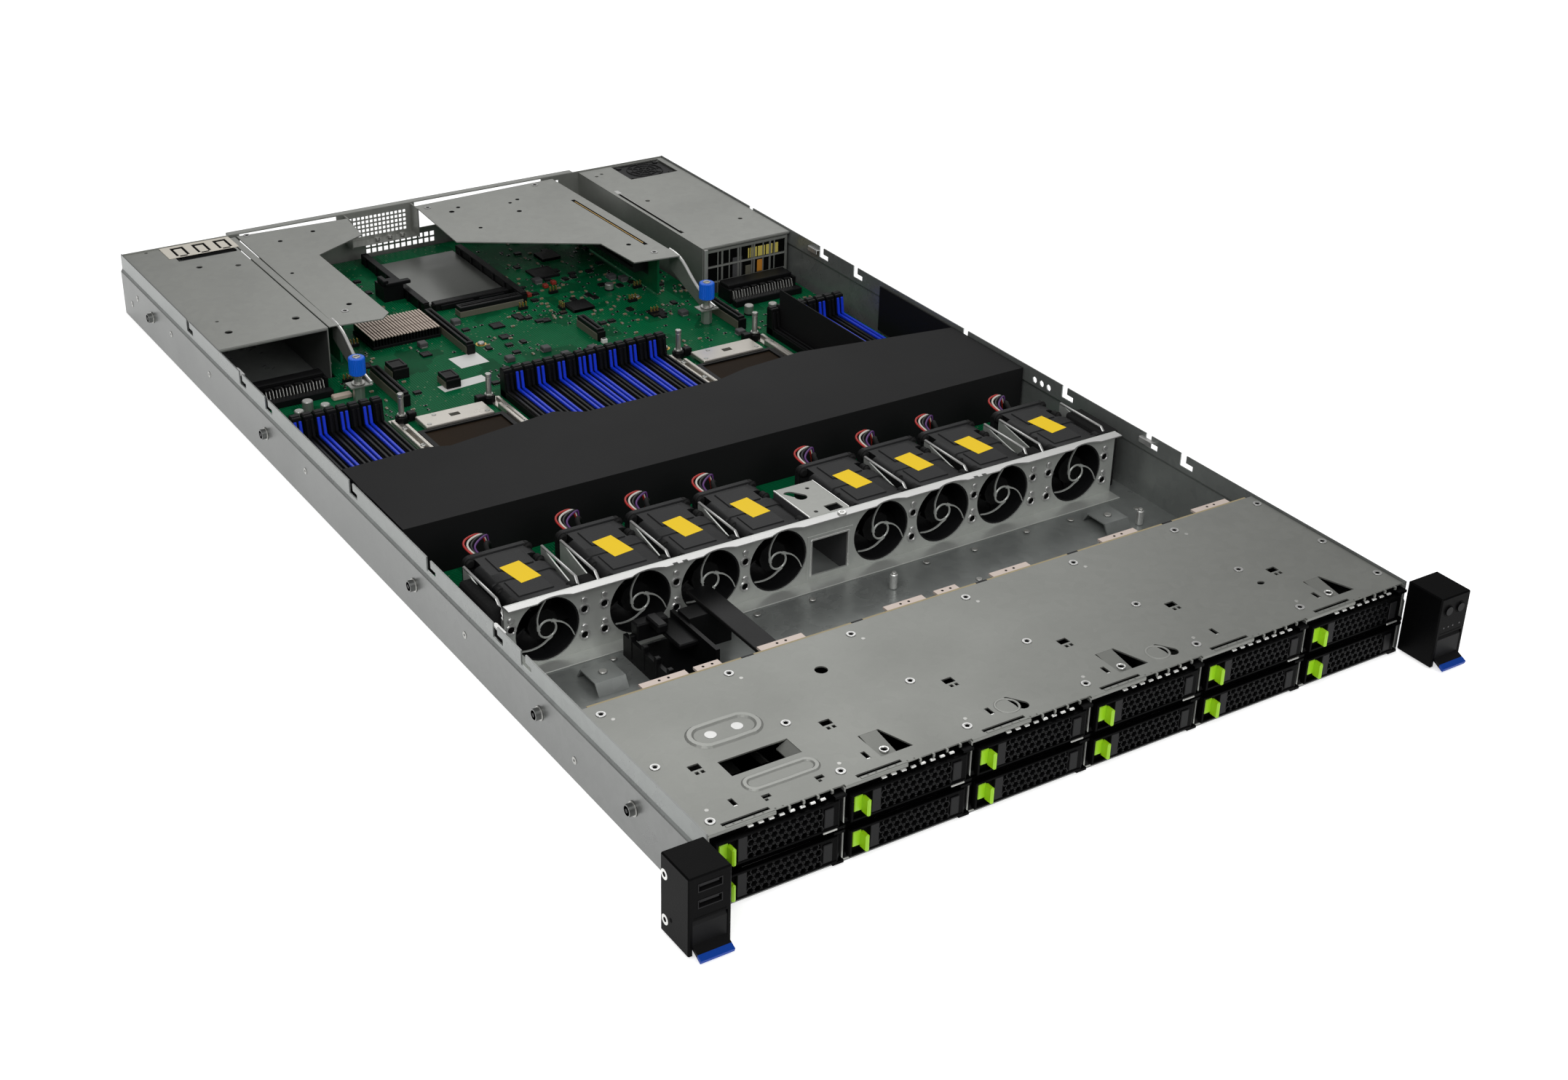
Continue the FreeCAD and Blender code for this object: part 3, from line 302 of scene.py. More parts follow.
# Surface effects that the finishes share
def newGroup(name, inputs, outputs):
    group = bpy.data.node_groups.new(name, "ShaderNodeTree")
    for label, kind, value in inputs:
        socket = group.interface.new_socket(name=label, in_out="INPUT", socket_type="NodeSocket" + kind)
        if value is not None:
            socket.default_value = value
    for label, kind in outputs:
        group.interface.new_socket(name=label, in_out="OUTPUT", socket_type="NodeSocket" + kind)
    return group, group.nodes.new("NodeGroupInput"), group.nodes.new("NodeGroupOutput")


def addMath(tree, operation, a, b):
    node = tree.nodes.new("ShaderNodeMath")
    node.operation = operation
    for index, value in enumerate((a, b)):
        if isinstance(value, (int, float)):
            node.inputs[index].default_value = value
        else:
            tree.links.new(value, node.inputs[index])
    return node.outputs[0]


def buildGrain():
    inputs = [("Vector", "Vector", None), ("Colour", "Color", None), ("Variation", "Float", 0.1),
              ("Roughness", "Float", 0.5), ("Roughness Change", "Float", 0.1),
              ("Grain Scale", "Float", 900.0),
              ("Smudge Scale", "Float", 14.0), ("Spangle", "Float", 0.0)]
    group, given, result = newGroup("surfaceGrain", inputs,
                                    [("Colour", "Color"), ("Roughness", "Float"), ("Height", "Float")])
    grain = group.nodes.new("ShaderNodeTexNoise")
    smudge = group.nodes.new("ShaderNodeTexNoise")
    cells = group.nodes.new("ShaderNodeTexVoronoi")
    grain.inputs["Detail"].default_value = 3.0
    smudge.inputs["Detail"].default_value = 4.0
    cells.inputs["Scale"].default_value = 210.0
    for texture, scale in ((grain, "Grain Scale"), (smudge, "Smudge Scale"), (cells, None)):
        group.links.new(given.outputs["Vector"], texture.inputs["Vector"])
        if scale:
            group.links.new(given.outputs[scale], texture.inputs["Scale"])
    flake = group.nodes.new("ShaderNodeRGBToBW")
    group.links.new(cells.outputs["Color"], flake.inputs["Color"])
    patch = addMath(group, "SUBTRACT", smudge.outputs["Fac"], 0.5)
    speck = addMath(group, "SUBTRACT", grain.outputs["Fac"], 0.5)
    flakeShift = addMath(group, "MULTIPLY", addMath(group, "SUBTRACT", flake.outputs[0], 0.5),
                         given.outputs["Spangle"])
    spread = addMath(group, "MULTIPLY", addMath(group, "ADD", patch, addMath(group, "MULTIPLY", speck, 0.5)),
                     addMath(group, "MULTIPLY", given.outputs["Variation"], 2.0))
    factor = addMath(group, "ADD", addMath(group, "ADD", spread, flakeShift), 1.0)
    tint = group.nodes.new("ShaderNodeVectorMath")
    tint.operation = "SCALE"
    group.links.new(given.outputs["Colour"], tint.inputs[0])
    group.links.new(factor, tint.inputs["Scale"])
    group.links.new(tint.outputs[0], result.inputs["Colour"])
    rough = addMath(group, "ADD", given.outputs["Roughness"],
                    addMath(group, "MULTIPLY", addMath(group, "ADD", patch, flakeShift),
                            given.outputs["Roughness Change"]))
    group.links.new(rough, result.inputs["Roughness"])
    group.links.new(grain.outputs["Fac"], result.inputs["Height"])
    return group


def buildZone():
    # 1 inside a box of the part, 0 outside
    group, given, result = newGroup("insideBox", [("Vector", "Vector", None), ("Low", "Vector", None),
                                                  ("High", "Vector", None)], [("Mask", "Float")])
    parts = {}
    for label in ("Vector", "Low", "High"):
        parts[label] = group.nodes.new("ShaderNodeSeparateXYZ")
        group.links.new(given.outputs[label], parts[label].inputs[0])
    mask = None
    for axis in range(3):
        above = addMath(group, "GREATER_THAN", parts["Vector"].outputs[axis], parts["Low"].outputs[axis])
        below = addMath(group, "LESS_THAN", parts["Vector"].outputs[axis], parts["High"].outputs[axis])
        inside = addMath(group, "MULTIPLY", above, below)
        mask = inside if mask is None else addMath(group, "MULTIPLY", mask, inside)
    group.links.new(mask, result.inputs["Mask"])
    return group


def buildTraces():
    # copper lines under solder mask: bundles that turn a corner from patch to patch, with small round pads
    group, given, result = newGroup("boardTraces", [("Vector", "Vector", None)],
                                    [("Lines", "Float"), ("Pads", "Float")])
    patches = group.nodes.new("ShaderNodeTexVoronoi")
    patches.distance = "CHEBYCHEV"
    patches.inputs["Scale"].default_value = 55.0
    group.links.new(given.outputs[0], patches.inputs["Vector"])
    choice = group.nodes.new("ShaderNodeSeparateColor")
    group.links.new(patches.outputs["Color"], choice.inputs[0])
    waves = []
    for direction in ("X", "Y"):
        wave = group.nodes.new("ShaderNodeTexWave")
        wave.bands_direction = direction
        wave.inputs["Scale"].default_value = 190.0
        wave.inputs["Distortion"].default_value = 0.0
        group.links.new(given.outputs[0], wave.inputs["Vector"])
        waves.append(addMath(group, "GREATER_THAN", wave.outputs["Fac"], 0.62))
    alongX = addMath(group, "MULTIPLY", waves[0], addMath(group, "GREATER_THAN", choice.outputs[0], 0.62))
    alongY = addMath(group, "MULTIPLY", waves[1], addMath(group, "LESS_THAN", choice.outputs[0], 0.36))
    group.links.new(addMath(group, "ADD", alongX, alongY), result.inputs["Lines"])
    dots = group.nodes.new("ShaderNodeTexVoronoi")
    dots.inputs["Scale"].default_value = 260.0
    group.links.new(given.outputs[0], dots.inputs["Vector"])
    small = addMath(group, "LESS_THAN", dots.outputs["Distance"], 0.16)
    group.links.new(addMath(group, "MULTIPLY", small,
                            addMath(group, "GREATER_THAN", choice.outputs[1], 0.45)),
                    result.inputs["Pads"])
    return group


grainGroup = buildGrain()
zoneGroup = buildZone()
traceGroup = buildTraces()


def addGrain(tree, coordinates, look):
    node = tree.nodes.new("ShaderNodeGroup")
    node.node_tree = grainGroup
    tree.links.new(coordinates, node.inputs["Vector"])
    node.inputs["Colour"].default_value = (*look["colour"], 1.0)
    for label, key, usual in (("Variation", "variation", 0.12), ("Roughness", "rough", 0.5),
                              ("Roughness Change", "roughChange", 0.2), ("Grain Scale", "grain", 1200.0),
                              ("Smudge Scale", "smudge", 14.0), ("Spangle", "spangle", 0.0)):
        node.inputs[label].default_value = look.get(key, usual)
    return node


def startMaterial(name):
    material = bpy.data.materials.new(name)
    material.use_nodes = True
    tree = material.node_tree
    shader = tree.nodes["Principled BSDF"]
    coordinates = tree.nodes.new("ShaderNodeTexCoord").outputs["Object"]
    return material, tree, shader, coordinates


def addBump(tree, shader, height, look):
    bump = tree.nodes.new("ShaderNodeBump")
    bump.inputs["Strength"].default_value = look.get("bump", 0.15)
    bump.inputs["Distance"].default_value = 0.0002
    tree.links.new(height, bump.inputs["Height"])
    tree.links.new(bump.outputs["Normal"], shader.inputs["Normal"])


def mixBy(tree, kind, mask, a, b):
    node = tree.nodes.new("ShaderNodeMix")
    node.data_type = kind
    pair = {"RGBA": (6, 7, 2), "FLOAT": (2, 3, 0)}[kind]
    tree.links.new(mask, node.inputs[0])
    for index, value in zip(pair, (a, b)):
        if isinstance(value, (int, float, tuple)):
            node.inputs[index].default_value = value
        else:
            tree.links.new(value, node.inputs[index])
    return node.outputs[pair[2]]


# zones: (low corner, high corner, look) for each box of the part that has another finish
def makeFinish(name, zones=(), **look):
    material, tree, shader, coordinates = startMaterial(name)
    base = addGrain(tree, coordinates, look)
    colour, rough, metal = base.outputs["Colour"], base.outputs["Roughness"], look.get("metal", 0.0)
    for low, high, other in zones:
        zone = tree.nodes.new("ShaderNodeGroup")
        zone.node_tree = zoneGroup
        tree.links.new(coordinates, zone.inputs["Vector"])
        zone.inputs["Low"].default_value = at(*low)
        zone.inputs["High"].default_value = at(*high)
        grain = addGrain(tree, coordinates, other)
        colour = mixBy(tree, "RGBA", zone.outputs[0], colour, grain.outputs["Colour"])
        rough = mixBy(tree, "FLOAT", zone.outputs[0], rough, grain.outputs["Roughness"])
        metal = mixBy(tree, "FLOAT", zone.outputs[0], metal, other.get("metal", 0.0))
    tree.links.new(colour, shader.inputs["Base Color"])
    tree.links.new(rough, shader.inputs["Roughness"])
    if isinstance(metal, float):
        shader.inputs["Metallic"].default_value = metal
    else:
        tree.links.new(metal, shader.inputs["Metallic"])
    shader.inputs["Specular IOR Level"].default_value = look.get("shine", 0.5)
    addBump(tree, shader, base.outputs["Height"], look)
    return material


def makeBoardFinish(name, **look):
    material, tree, shader, coordinates = startMaterial(name)
    base = addGrain(tree, coordinates, look)
    traces = tree.nodes.new("ShaderNodeGroup")
    traces.node_tree = traceGroup
    tree.links.new(coordinates, traces.inputs[0])
    colour = mixBy(tree, "RGBA", traces.outputs["Lines"], base.outputs["Colour"], (*look["lineColour"], 1.0))
    colour = mixBy(tree, "RGBA", traces.outputs["Pads"], colour, (*look["padColour"], 1.0))
    tree.links.new(colour, shader.inputs["Base Color"])
    tree.links.new(base.outputs["Roughness"], shader.inputs["Roughness"])
    shader.inputs["Specular IOR Level"].default_value = look.get("shine", 0.5)
    addBump(tree, shader, traces.outputs["Lines"], look)
    return material


zinc = {"colour": (0.30, 0.305, 0.285), "metal": 0.6, "rough": 0.4, "variation": 0.07, "roughChange": 0.25,
        "spangle": 0.08, "grain": 1500.0, "bump": 0.06}
nickel = {"colour": (0.56, 0.53, 0.48), "metal": 0.8, "rough": 0.3, "variation": 0.05}
blackMoulded = {"colour": (0.004, 0.004, 0.0043), "rough": 0.4, "variation": 0.2, "shine": 0.14}
boardGreen = {"colour": (0.0008, 0.074, 0.026), "rough": 0.28, "variation": 0.5, "smudge": 40.0,
              "shine": 0.03}

zincSheet = makeFinish("zincSheet", **zinc)
plateZinc = makeFinish("plateZinc", **{**zinc, "colour": (0.225, 0.23, 0.213)})
# The pan's inside is painted a brighter, less metallic zinc than its outside: painted light on the shaded
# floor and walls inside.
innerZincPaintedLight = {"colour": (0.24, 0.253, 0.245), "metal": 0.5, "rough": 0.3, "variation": 0.1, "roughChange": 0.3,
             "spangle": 0.14, "grain": 1500.0}
# The left supply bay's inside is painted a dark zinc: painted shade.
bayShadeBox = ((-219.0, 600.5, 0.5), (-143.25, 787.15, 41.55))
panZinc = makeFinish("panZinc", zones=[((-218.6, 0.5, 0.6), (218.6, 787.0, 43.3), innerZincPaintedLight)],
                     colour=(0.19, 0.195, 0.19), metal=0.75, rough=0.34, variation=0.1, roughChange=0.3,
                     spangle=0.12, grain=1500.0, bump=0.06)
shadedZinc = {"colour": (0.09, 0.093, 0.09), "metal": 0.5, "rough": 0.45, "variation": 0.1}
# The fan wall's zinc is painted about 1.6 times brighter than the plain zinc: painted light on the wall's
# shaded front, its guards and dividers.
wallZincPaintedLight = makeFinish("wallZincPaintedLight", colour=(0.48, 0.495, 0.47), metal=0.5, rough=0.34, variation=0.08,
                      spangle=0.1,
                      grain=1500.0, bump=0.05)
brightSteel = makeFinish("brightSteel", colour=(0.72, 0.72, 0.70), metal=0.75, rough=0.26, variation=0.05)
nickelPlate = makeFinish("nickelPlate", **nickel)
trayBlack = makeFinish("trayBlack", colour=(0.0009, 0.0009, 0.001), rough=0.3, variation=0.25, bump=0.2,
                       shine=0.03)
gridBlack = makeFinish("gridBlack", colour=(0.006, 0.006, 0.0065), rough=0.34, variation=0.2, bump=0.15,
                       shine=0.14)
# deepBlack is a flat black for the painted shade in holes, slits and openings; the ear groove and port backs
# use it too.
deepBlack = makeFinish("deepBlack", colour=(0.0012, 0.0012, 0.0012), rough=0.8, shine=0.05)
blackPlastic = makeFinish("blackPlastic", **blackMoulded)
fanCharcoal = makeFinish("fanCharcoal", colour=(0.0075, 0.0077, 0.0082), rough=0.44, variation=0.35,
                         bump=0.35, shine=0.16)
rotorBlack = makeFinish("rotorBlack", colour=(0.0025, 0.0025, 0.0026), rough=0.5, shine=0.15)
ductBlack = makeFinish("ductBlack", colour=(0.0075, 0.0075, 0.0078), rough=0.6, variation=0.15, smudge=6.0,
                       shine=0.15)
earBlack = makeFinish("earBlack", colour=(0.0013, 0.0013, 0.0014), rough=0.42, variation=0.15, bump=0.25,
                      shine=0.04)
rubberBlack = makeFinish("rubberBlack", colour=(0.003, 0.003, 0.003), rough=0.7, bump=0.3, shine=0.25)
foamBlack = makeFinish("foamBlack", colour=(0.014, 0.014, 0.014), rough=0.95, variation=0.6, grain=700.0,
                       bump=1.0,
                       shine=0.1)
latchLime = makeFinish("latchLime", colour=(0.27, 0.53, 0.006), rough=0.38, variation=0.08, bump=0.1)
capBlue = makeFinish("capBlue", colour=(0.006, 0.13, 0.72), rough=0.35, variation=0.08)
socketBlue = makeFinish("socketBlue", colour=(0.004, 0.036, 0.62), rough=0.4, variation=0.08)
stickerYellow = makeFinish("stickerYellow", colour=(0.98, 0.66, 0.002), rough=0.42, variation=0.04,
                           shine=0.12)
labelWhite = makeFinish("labelWhite", colour=(0.72, 0.72, 0.70), rough=0.5, variation=0.05)
silverPart = makeFinish("silverPart", colour=(0.42, 0.42, 0.40), metal=0.8, rough=0.36, variation=0.1)
tanPart = makeFinish("tanPart", colour=(0.20, 0.145, 0.08), rough=0.5, variation=0.2)
chipInk = makeFinish("chipInk", colour=(0.005, 0.005, 0.0056), rough=0.36, variation=0.2, shine=0.16)
goldContact = makeFinish("goldContact", colour=(0.72, 0.47, 0.14), metal=0.9, rough=0.3)
pinField = makeFinish("pinField", colour=(0.02, 0.012, 0.006), shine=0.06, rough=0.6, grain=1800.0,
                      variation=0.7)
guardWire = makeFinish("guardWire", colour=(0.50, 0.50, 0.49), metal=0.7, rough=0.3, variation=0.05)
pinkBar = makeFinish("pinkBar", colour=(0.55, 0.45, 0.38), metal=0.2, rough=0.45, variation=0.05)
redPart = makeFinish("redPart", colour=(0.22, 0.02, 0.012), rough=0.45)
bayGrey = makeFinish("bayGrey", colour=(0.22, 0.225, 0.215), metal=0.75, rough=0.3, variation=0.08)
shellTan = makeFinish("shellTan", colour=(0.10, 0.095, 0.07), rough=0.5, variation=0.2)
chokeGrey = makeFinish("chokeGrey", colour=(0.05, 0.05, 0.052), rough=0.6, variation=0.3)
coilYellow = makeFinish("coilYellow", colour=(0.55, 0.46, 0.10), rough=0.5, variation=0.2)
coilOrange = makeFinish("coilOrange", colour=(0.50, 0.20, 0.02), rough=0.5, variation=0.2)
blankPale = makeFinish("blankPale", colour=(0.70, 0.66, 0.575), metal=0.1, rough=0.4, variation=0.06)
wireColours = {"red": (0.42, 0.02, 0.015), "white": (0.62, 0.6, 0.55), "black": (0.01, 0.01, 0.01),
               "violet": (0.10, 0.03, 0.16)}
wires = {key: makeFinish("wire" + key.capitalize(), colour=shade, rough=0.45) for key,
         shade in wireColours.items()}
boardFinish = makeBoardFinish("boardFinish", lineColour=(0.005, 0.15, 0.055), padColour=(0.13, 0.18, 0.11),
                              bump=0.1, **boardGreen)
print("finishes made")


def paint(finish, *names):
    for name in names:
        node = nodes[name]
        if not node.material_slots:
            node.data.materials.append(finish)
        for slotHere in node.material_slots:
            slotHere.material = finish


tan = {"colour": (0.36, 0.29, 0.15), "rough": 0.5, "variation": 0.15}
pinkish = {"colour": (0.62, 0.52, 0.46), "rough": 0.45, "metal": 0.2, "variation": 0.05}
finnedAlloy = {"colour": (0.42, 0.34, 0.29), "rough": 0.4, "metal": 0.6}
darkPlate = {"colour": (0.085, 0.088, 0.09), "rough": 0.4, "metal": 0.5}
cardLeft = [((-131.2, 605, 0), (-129.2, 745, 41.3), boardGreen),
            ((-129.5, 625, 20), (-115, 725, 30.2), blackMoulded)]
cardRight = [((111.8, 605, 0), (113.8, 745, 41.3), boardGreen),
             ((100, 625, 20), (112.1, 725, 30.2), blackMoulded)]
bracketZones = [((-110, 620, 0), (-50, 661, 20), finnedAlloy), ((-45, 668, 0), (25, 765, 12), darkPlate)]
backplaneZones = [((-230, 112, 0), (230, 118.6, 39.5), blackMoulded),
                  ((-230, 118.55, 39), (230, 126, 44), pinkish)]
paint(panZinc, "chassis_pan")
paint(zincSheet, "rear_panel", "drive_cage", "cage_top_plate", "fan_wall", "psu_module")
# bayZinc carries the left bay's painted shade on the bay sheets and the blank.
bayZinc = makeFinish("bayZinc", zones=[(*bayShadeBox, shadedZinc)], **zinc)
paint(bayZinc, "psu_bays", "psu_blank")
paint(makeFinish("riserLeft", zones=cardLeft, **zinc), "riser_left")
paint(makeFinish("riserRight", zones=cardRight, **zinc), "riser_right")
paint(makeFinish("bracketMetal", zones=bracketZones, **nickel), "board_brackets")
paint(makeFinish("backplaneBoard", zones=backplaneZones, **tan), "backplane")
paint(boardFinish, "motherboard")
paint(blackPlastic, "board_connectors", "cable_holder", "psu_handle")
paint(ductBlack, "air_duct")
paint(trayBlack, *[name for name in nodes if name.startswith("drive_tray")])
paint(rotorBlack, *[name for name in nodes if name.startswith("fan_rotor")])
paint(earBlack, "ear_left", "ear_right")
lipBlue = {"colour": (0.003, 0.04, 0.27), "rough": 0.4}
paint(makeFinish("earLatch", zones=[((-250, -40, 0), (250, -28.0, 8), lipBlue)],
                 colour=(0.003, 0.003, 0.0032),
                 rough=0.46, shine=0.12), "ear_latch_left", "ear_latch_right")
paint(makeFinish("buttonBlack", colour=(0.002, 0.002, 0.0022), rough=0.3, shine=0.12), "power_button",
      "locator_button")
print("CAD nodes painted")


# Camera, light and floor
view = {"place": (-0.6234771, -1.0432011, 0.6165858), "turn": (61.2309, -1.4077, -32.9647), "lens": 50.3935,
        "sky": 0.34, "floor": 0.86, "glow": 0.6, "lamps": [("keyLamp", (-1.3, -1.3, 2.0), 1.6, 25),
                                                           ("rearLamp", (0.9, 1.5, 1.7), 1.4, 12),
                                                           ("frontLamp", (0.2, -2.2, 1.3), 1.2, 16)]}


def setStage():
    scene = bpy.context.scene
    cameraData = bpy.data.cameras.new("camera")
    cameraData.lens = view["lens"]
    cameraData.sensor_width = 36.0
    cameraData.sensor_fit = "HORIZONTAL"
    cameraData.clip_start = 0.01
    camera = bpy.data.objects.new("camera", cameraData)
    camera.location = view["place"]
    camera.rotation_euler = [math.radians(angle) for angle in view["turn"]]
    scene.collection.objects.link(camera)
    scene.camera = camera
    world = bpy.data.worlds.new("studio")
    world.use_nodes = True
    world.node_tree.nodes["Background"].inputs["Color"].default_value = (1, 1, 1, 1)
    world.node_tree.nodes["Background"].inputs["Strength"].default_value = view["sky"]
    scene.world = world
    scene.view_settings.view_transform = "Standard"
    deselectAll()
    bpy.ops.mesh.primitive_plane_add(size=60, location=(0, 0, 0))
    pale = makeFinish("floorPale", colour=(view["floor"],) * 3, rough=0.9, variation=0.0, bump=0.0)
    pale.node_tree.nodes["Principled BSDF"].inputs["Emission Color"].default_value = (1, 1, 1, 1)
    pale.node_tree.nodes["Principled BSDF"].inputs["Emission Strength"].default_value = view["glow"]
    floor = settleNew("floor", pale)
    for name, place, size, power in view["lamps"]:
        lampData = bpy.data.lights.new(name, "AREA")
        lampData.size = size
        lampData.energy = power
        lamp = bpy.data.objects.new(name, lampData)
        lamp.location = place
        lamp.rotation_euler = (-Vector(place)).to_track_quat("-Z", "Y").to_euler()
        scene.collection.objects.link(lamp)


setStage()
print("stage set")


# Drive fronts: a lever with a honeycomb, a hinge strip and a lime latch tab on each tray
lever = {"front": -3.4, "back": -0.25, "bar": 1.3, "cellRadius": 2.35, "cellWall": 0.42,
         "cellsAcross": 10, "cellRows": 4, "gridStart": 17.4, "height": 15.15, "lift": 1.7}
cageGrid = {"left": [-215.8, -143.6, -71.4, 0.8, 73.0, 145.2], "bottom": [1.9, 21.65]}
columns = len(cageGrid["left"])


def makeHoneycomb(height):
    outer = lever["cellRadius"]
    deselectAll()
    bpy.ops.mesh.primitive_circle_add(vertices=6, radius=outer * mm, fill_type="NGON", location=(0, 0, 0),
                                      rotation=(math.pi / 2, math.radians(30), 0))
    cell = settleNew("cell", gridBlack)
    editWith(cell, lambda face: True)
    bpy.ops.mesh.inset(thickness=lever["cellWall"] * mm, depth=0)
    bpy.ops.mesh.delete(type="FACE")
    bpy.ops.mesh.select_all(action="SELECT")
    bpy.ops.mesh.extrude_region_move(TRANSFORM_OT_translate={"value": (0, 1.3 * mm, 0)})
    bpy.ops.mesh.select_all(action="SELECT")
    bpy.ops.mesh.normals_make_consistent(inside=False)
    leaveEdit()
    stepX = math.sqrt(3) * outer
    stepZ = 1.5 * outer
    cells = []
    for row in range(lever["cellRows"]):
        z = height / 2 + (row - (lever["cellRows"] - 1) / 2) * stepZ
        for column in range(lever["cellsAcross"] - row % 2):
            x = lever["gridStart"] + stepX * (column + 0.5 + 0.5 * (row % 2))
            cells.append(copied(cell, x, -3.1, z))
    discard(cell)
    return joined("honeycomb", cells)


def makeLever():
    height = lever["height"]
    front, back = lever["front"], lever["back"]
    bar = lever["bar"]
    # local: x from the tray's left edge, z from the lever's lower edge, y from the front face
    spans = [(trayBlack, (1.0, 2.4), (front, back), (0, height), 0.25),
             (trayBlack, (2.2, 66.4), (front, back), (0, bar), 0.25),
             (trayBlack, (2.2, 66.4), (front, back), (height - bar, height), 0.25),
             (gridBlack, (12.6, 17.6), (-3.2, back), (bar, height - bar), 0.2),
             # The black sheet behind the honeycomb is painted shade.
             (deepBlack, (2.3, 57.6), (-0.9, back), (bar, height - bar), 0),
             (trayBlack, (57.0, 66.2), (-3.0, back), (bar - 0.2, height - bar + 0.2), 0.2),
             (gridBlack, (58.4, 63.4), (-3.7, -2.9), (2.4, height - 2.6), 0.3),
             (latchLime, (3.3, 8.0), (-2.4, -1.5), (4.4, height - 2.3), 0.3),
             (latchLime, (7.4, 9.6), (-7.4, -1.5), (2.9, height - 2.8), 0.8)]
    parts = [block("span", *span) for span in spans]
    parts.append(disc("knuckle", trayBlack, (66.4, -0.8, height / 2), 1.95, height, 16, 0.2))
    parts = [atZero(part) for part in parts] + [makeHoneycomb(height)]
    return joined("trayLever", parts)


def addTrayFronts():
    model = makeLever()
    clip = atZero(block("clip", silverPart, (57.6, 65.4), (-4.2, -3.2), (-0.6, 0.4), 0.3))
    for column, left in enumerate(cageGrid["left"]):
        for row, bottom in enumerate(cageGrid["bottom"]):
            tag = str(column + 1) + "ab"[row]
            parts = [copied(shape, left, 0, bottom + lever["lift"])
                     for shape in ([model, clip] if row else [model])]
            piece = toFront(joined("leverFront_" + tag, parts))
            dress(piece, "tray_lever_" + tag, "tray_black", "tray_lever_" + tag)
    discard(model, clip)


addTrayFronts()
print("tray fronts done")


# Drive cage plate: pressed sheet with rivets, capsules, louvres, tear holes, tabs and a toothed front edge
plate = {"low": 41.5, "top": 42.3, "side": 216.8, "depth": 116.7, "pitch": 72.2, "lip": 40.5,
         "rivetColumns": [-210.6, -139.4, -67.0, 5.6, 78.0, 150.2, 212.6], "rivetRows": [10.9, 57.0, 108.0],
         "fingers": 8, "fingerStart": 19.0, "fingerStep": 5.5, "tabHole": (-195.1, 47.2),
         "shortSlot": (-194.4, 15.5),
         "longSlit": (-207.8, -182.8), "toothStart": 34.5, "toothStep": 7.7, "toothGap": 6.6, "teeth": 5,
         "louvres": [(-110.4, 20.0), (33.2, 19.0), (176.9, 19.0)], "tears": [(-32.9, 12.0), (62.7, 12.0)],
         "tabs": [(-179.0, 11.0), (-150.3, 11.0)], "window": (-184.0, -146.0, 33.0, 46.0),
         "pressedSpots": (-175.0, -160.4), "shelfHoles": (5, 9.5, 16, 20.5, 27, 31),
         "dimpleRows": (16.5, 101.5), "edgeRivets": {-210.6: 8.5, 212.6: 16.0}}


def makeRivet():
    head = disc("rivet", guardWire, (0, 0, 0.2), 2.6, 0.4, 16, 0.15)
    sinkFace(head, topFace, 0.9, 0.3)
    # The hollow centre is a flat black disc: painted shade.
    hub = disc("rivetPin", deepBlack, (0, 0, 0.12), 1.15, 0.3, 10, 0.1)
    return atZero(joined("rivetModel", [head, hub]))


def pressedRing(x, y, z, halfLength, radius, wire):
    # a round or long raised line in sheet metal
    loop = ring("pressedRing", zincSheet, (x, y, z), radius, wire, around=24)
    middle = at(x, y, z)
    for side in (-1, 1):
        if halfLength:
            pushPoints(loop, lambda point: (point.x - middle.x) * side > mm * 0.1, x=side * halfLength)
    editPoints(loop, lambda point: True)
    bpy.ops.transform.resize(value=(1, 1, 0.42), center_override=middle)
    leaveEdit()
    return loop


def toothCutters(k):
    left = cageGrid["left"][k] + plate["toothStart"]
    starts = [left + i * plate["toothStep"] for i in range(plate["teeth"])]
    return [cutBox((x, x + plate["toothGap"]), (-1.0, 1.5), (38.0, 44.0)) for x in starts]


def plateCutters(z):
    tools = []
    for k in range(columns):
        shift = k * plate["pitch"]
        x, y = plate["tabHole"][0] + shift, plate["tabHole"][1]
        tools.append(cutBox(about(x, 3.0), (y - 1.6, y + 2.8), z))
        tools += [cutBox(about(x + side, 0.95), (y - 5.2, y - 2.9), z) for side in (-1.4, 1.6)]
        x, y = plate["shortSlot"][0] + shift, plate["shortSlot"][1]
        tools.append(cutBox(about(x, 1.2), (y - 2.8, y + 3.2), z))
        start, end = plate["longSlit"]
        tools.append(cutBox((start + shift, end + shift), (2.6, 4.8), z))
        tools += toothCutters(k)
    for x, y in plate["louvres"]:
        wedge = cutBox((x - 6.2, x + 12.0), (y - 9.0, y + 10.5), z)
        rear = at(x, y + 9, 0).y
        pushPoints(wedge, lambda point: point.y > rear and point.x > at(x, 0, 0).x, x=-6.4)
        tools.append(wedge)
    for x, y in plate["tears"]:
        tear = cutRod((x, y, 42.0), 3.4, 6.0, 16)
        pushPoints(tear, past("Y", y + 1.6), x=-3.2, y=7.0)
        editPoints(tear, past("Y", y + 5.5))
        bpy.ops.transform.resize(value=(0.35, 0.5, 1), center_override=at(x - 3.2, y + 9.2, 42.0))
        leaveEdit()
        tools.append(tear)
    for x, y in plate["tabs"]:
        tools.append(cutBox(about(x, 2.2), (y - 0.2, y + 2.4), z))
        tools.append(cutBox((x - 2.2, x - 0.4), (y - 2.2, y - 0.6), z))
    tools.append(cutRod((-98.7, 87.7, 42.0), 3.4, 6.0, 28))
    half = cutRod((150.6, 39.7, 42.0), 2.4, 6.0, 16)
    pushPoints(half, before("Y", 39.0), y=1.3)
    tools.append(half)
    x0, x1, y0, y1 = plate["window"]
    tools.append(cutBox((x0, x1), (y0, y1), z))
    return tools


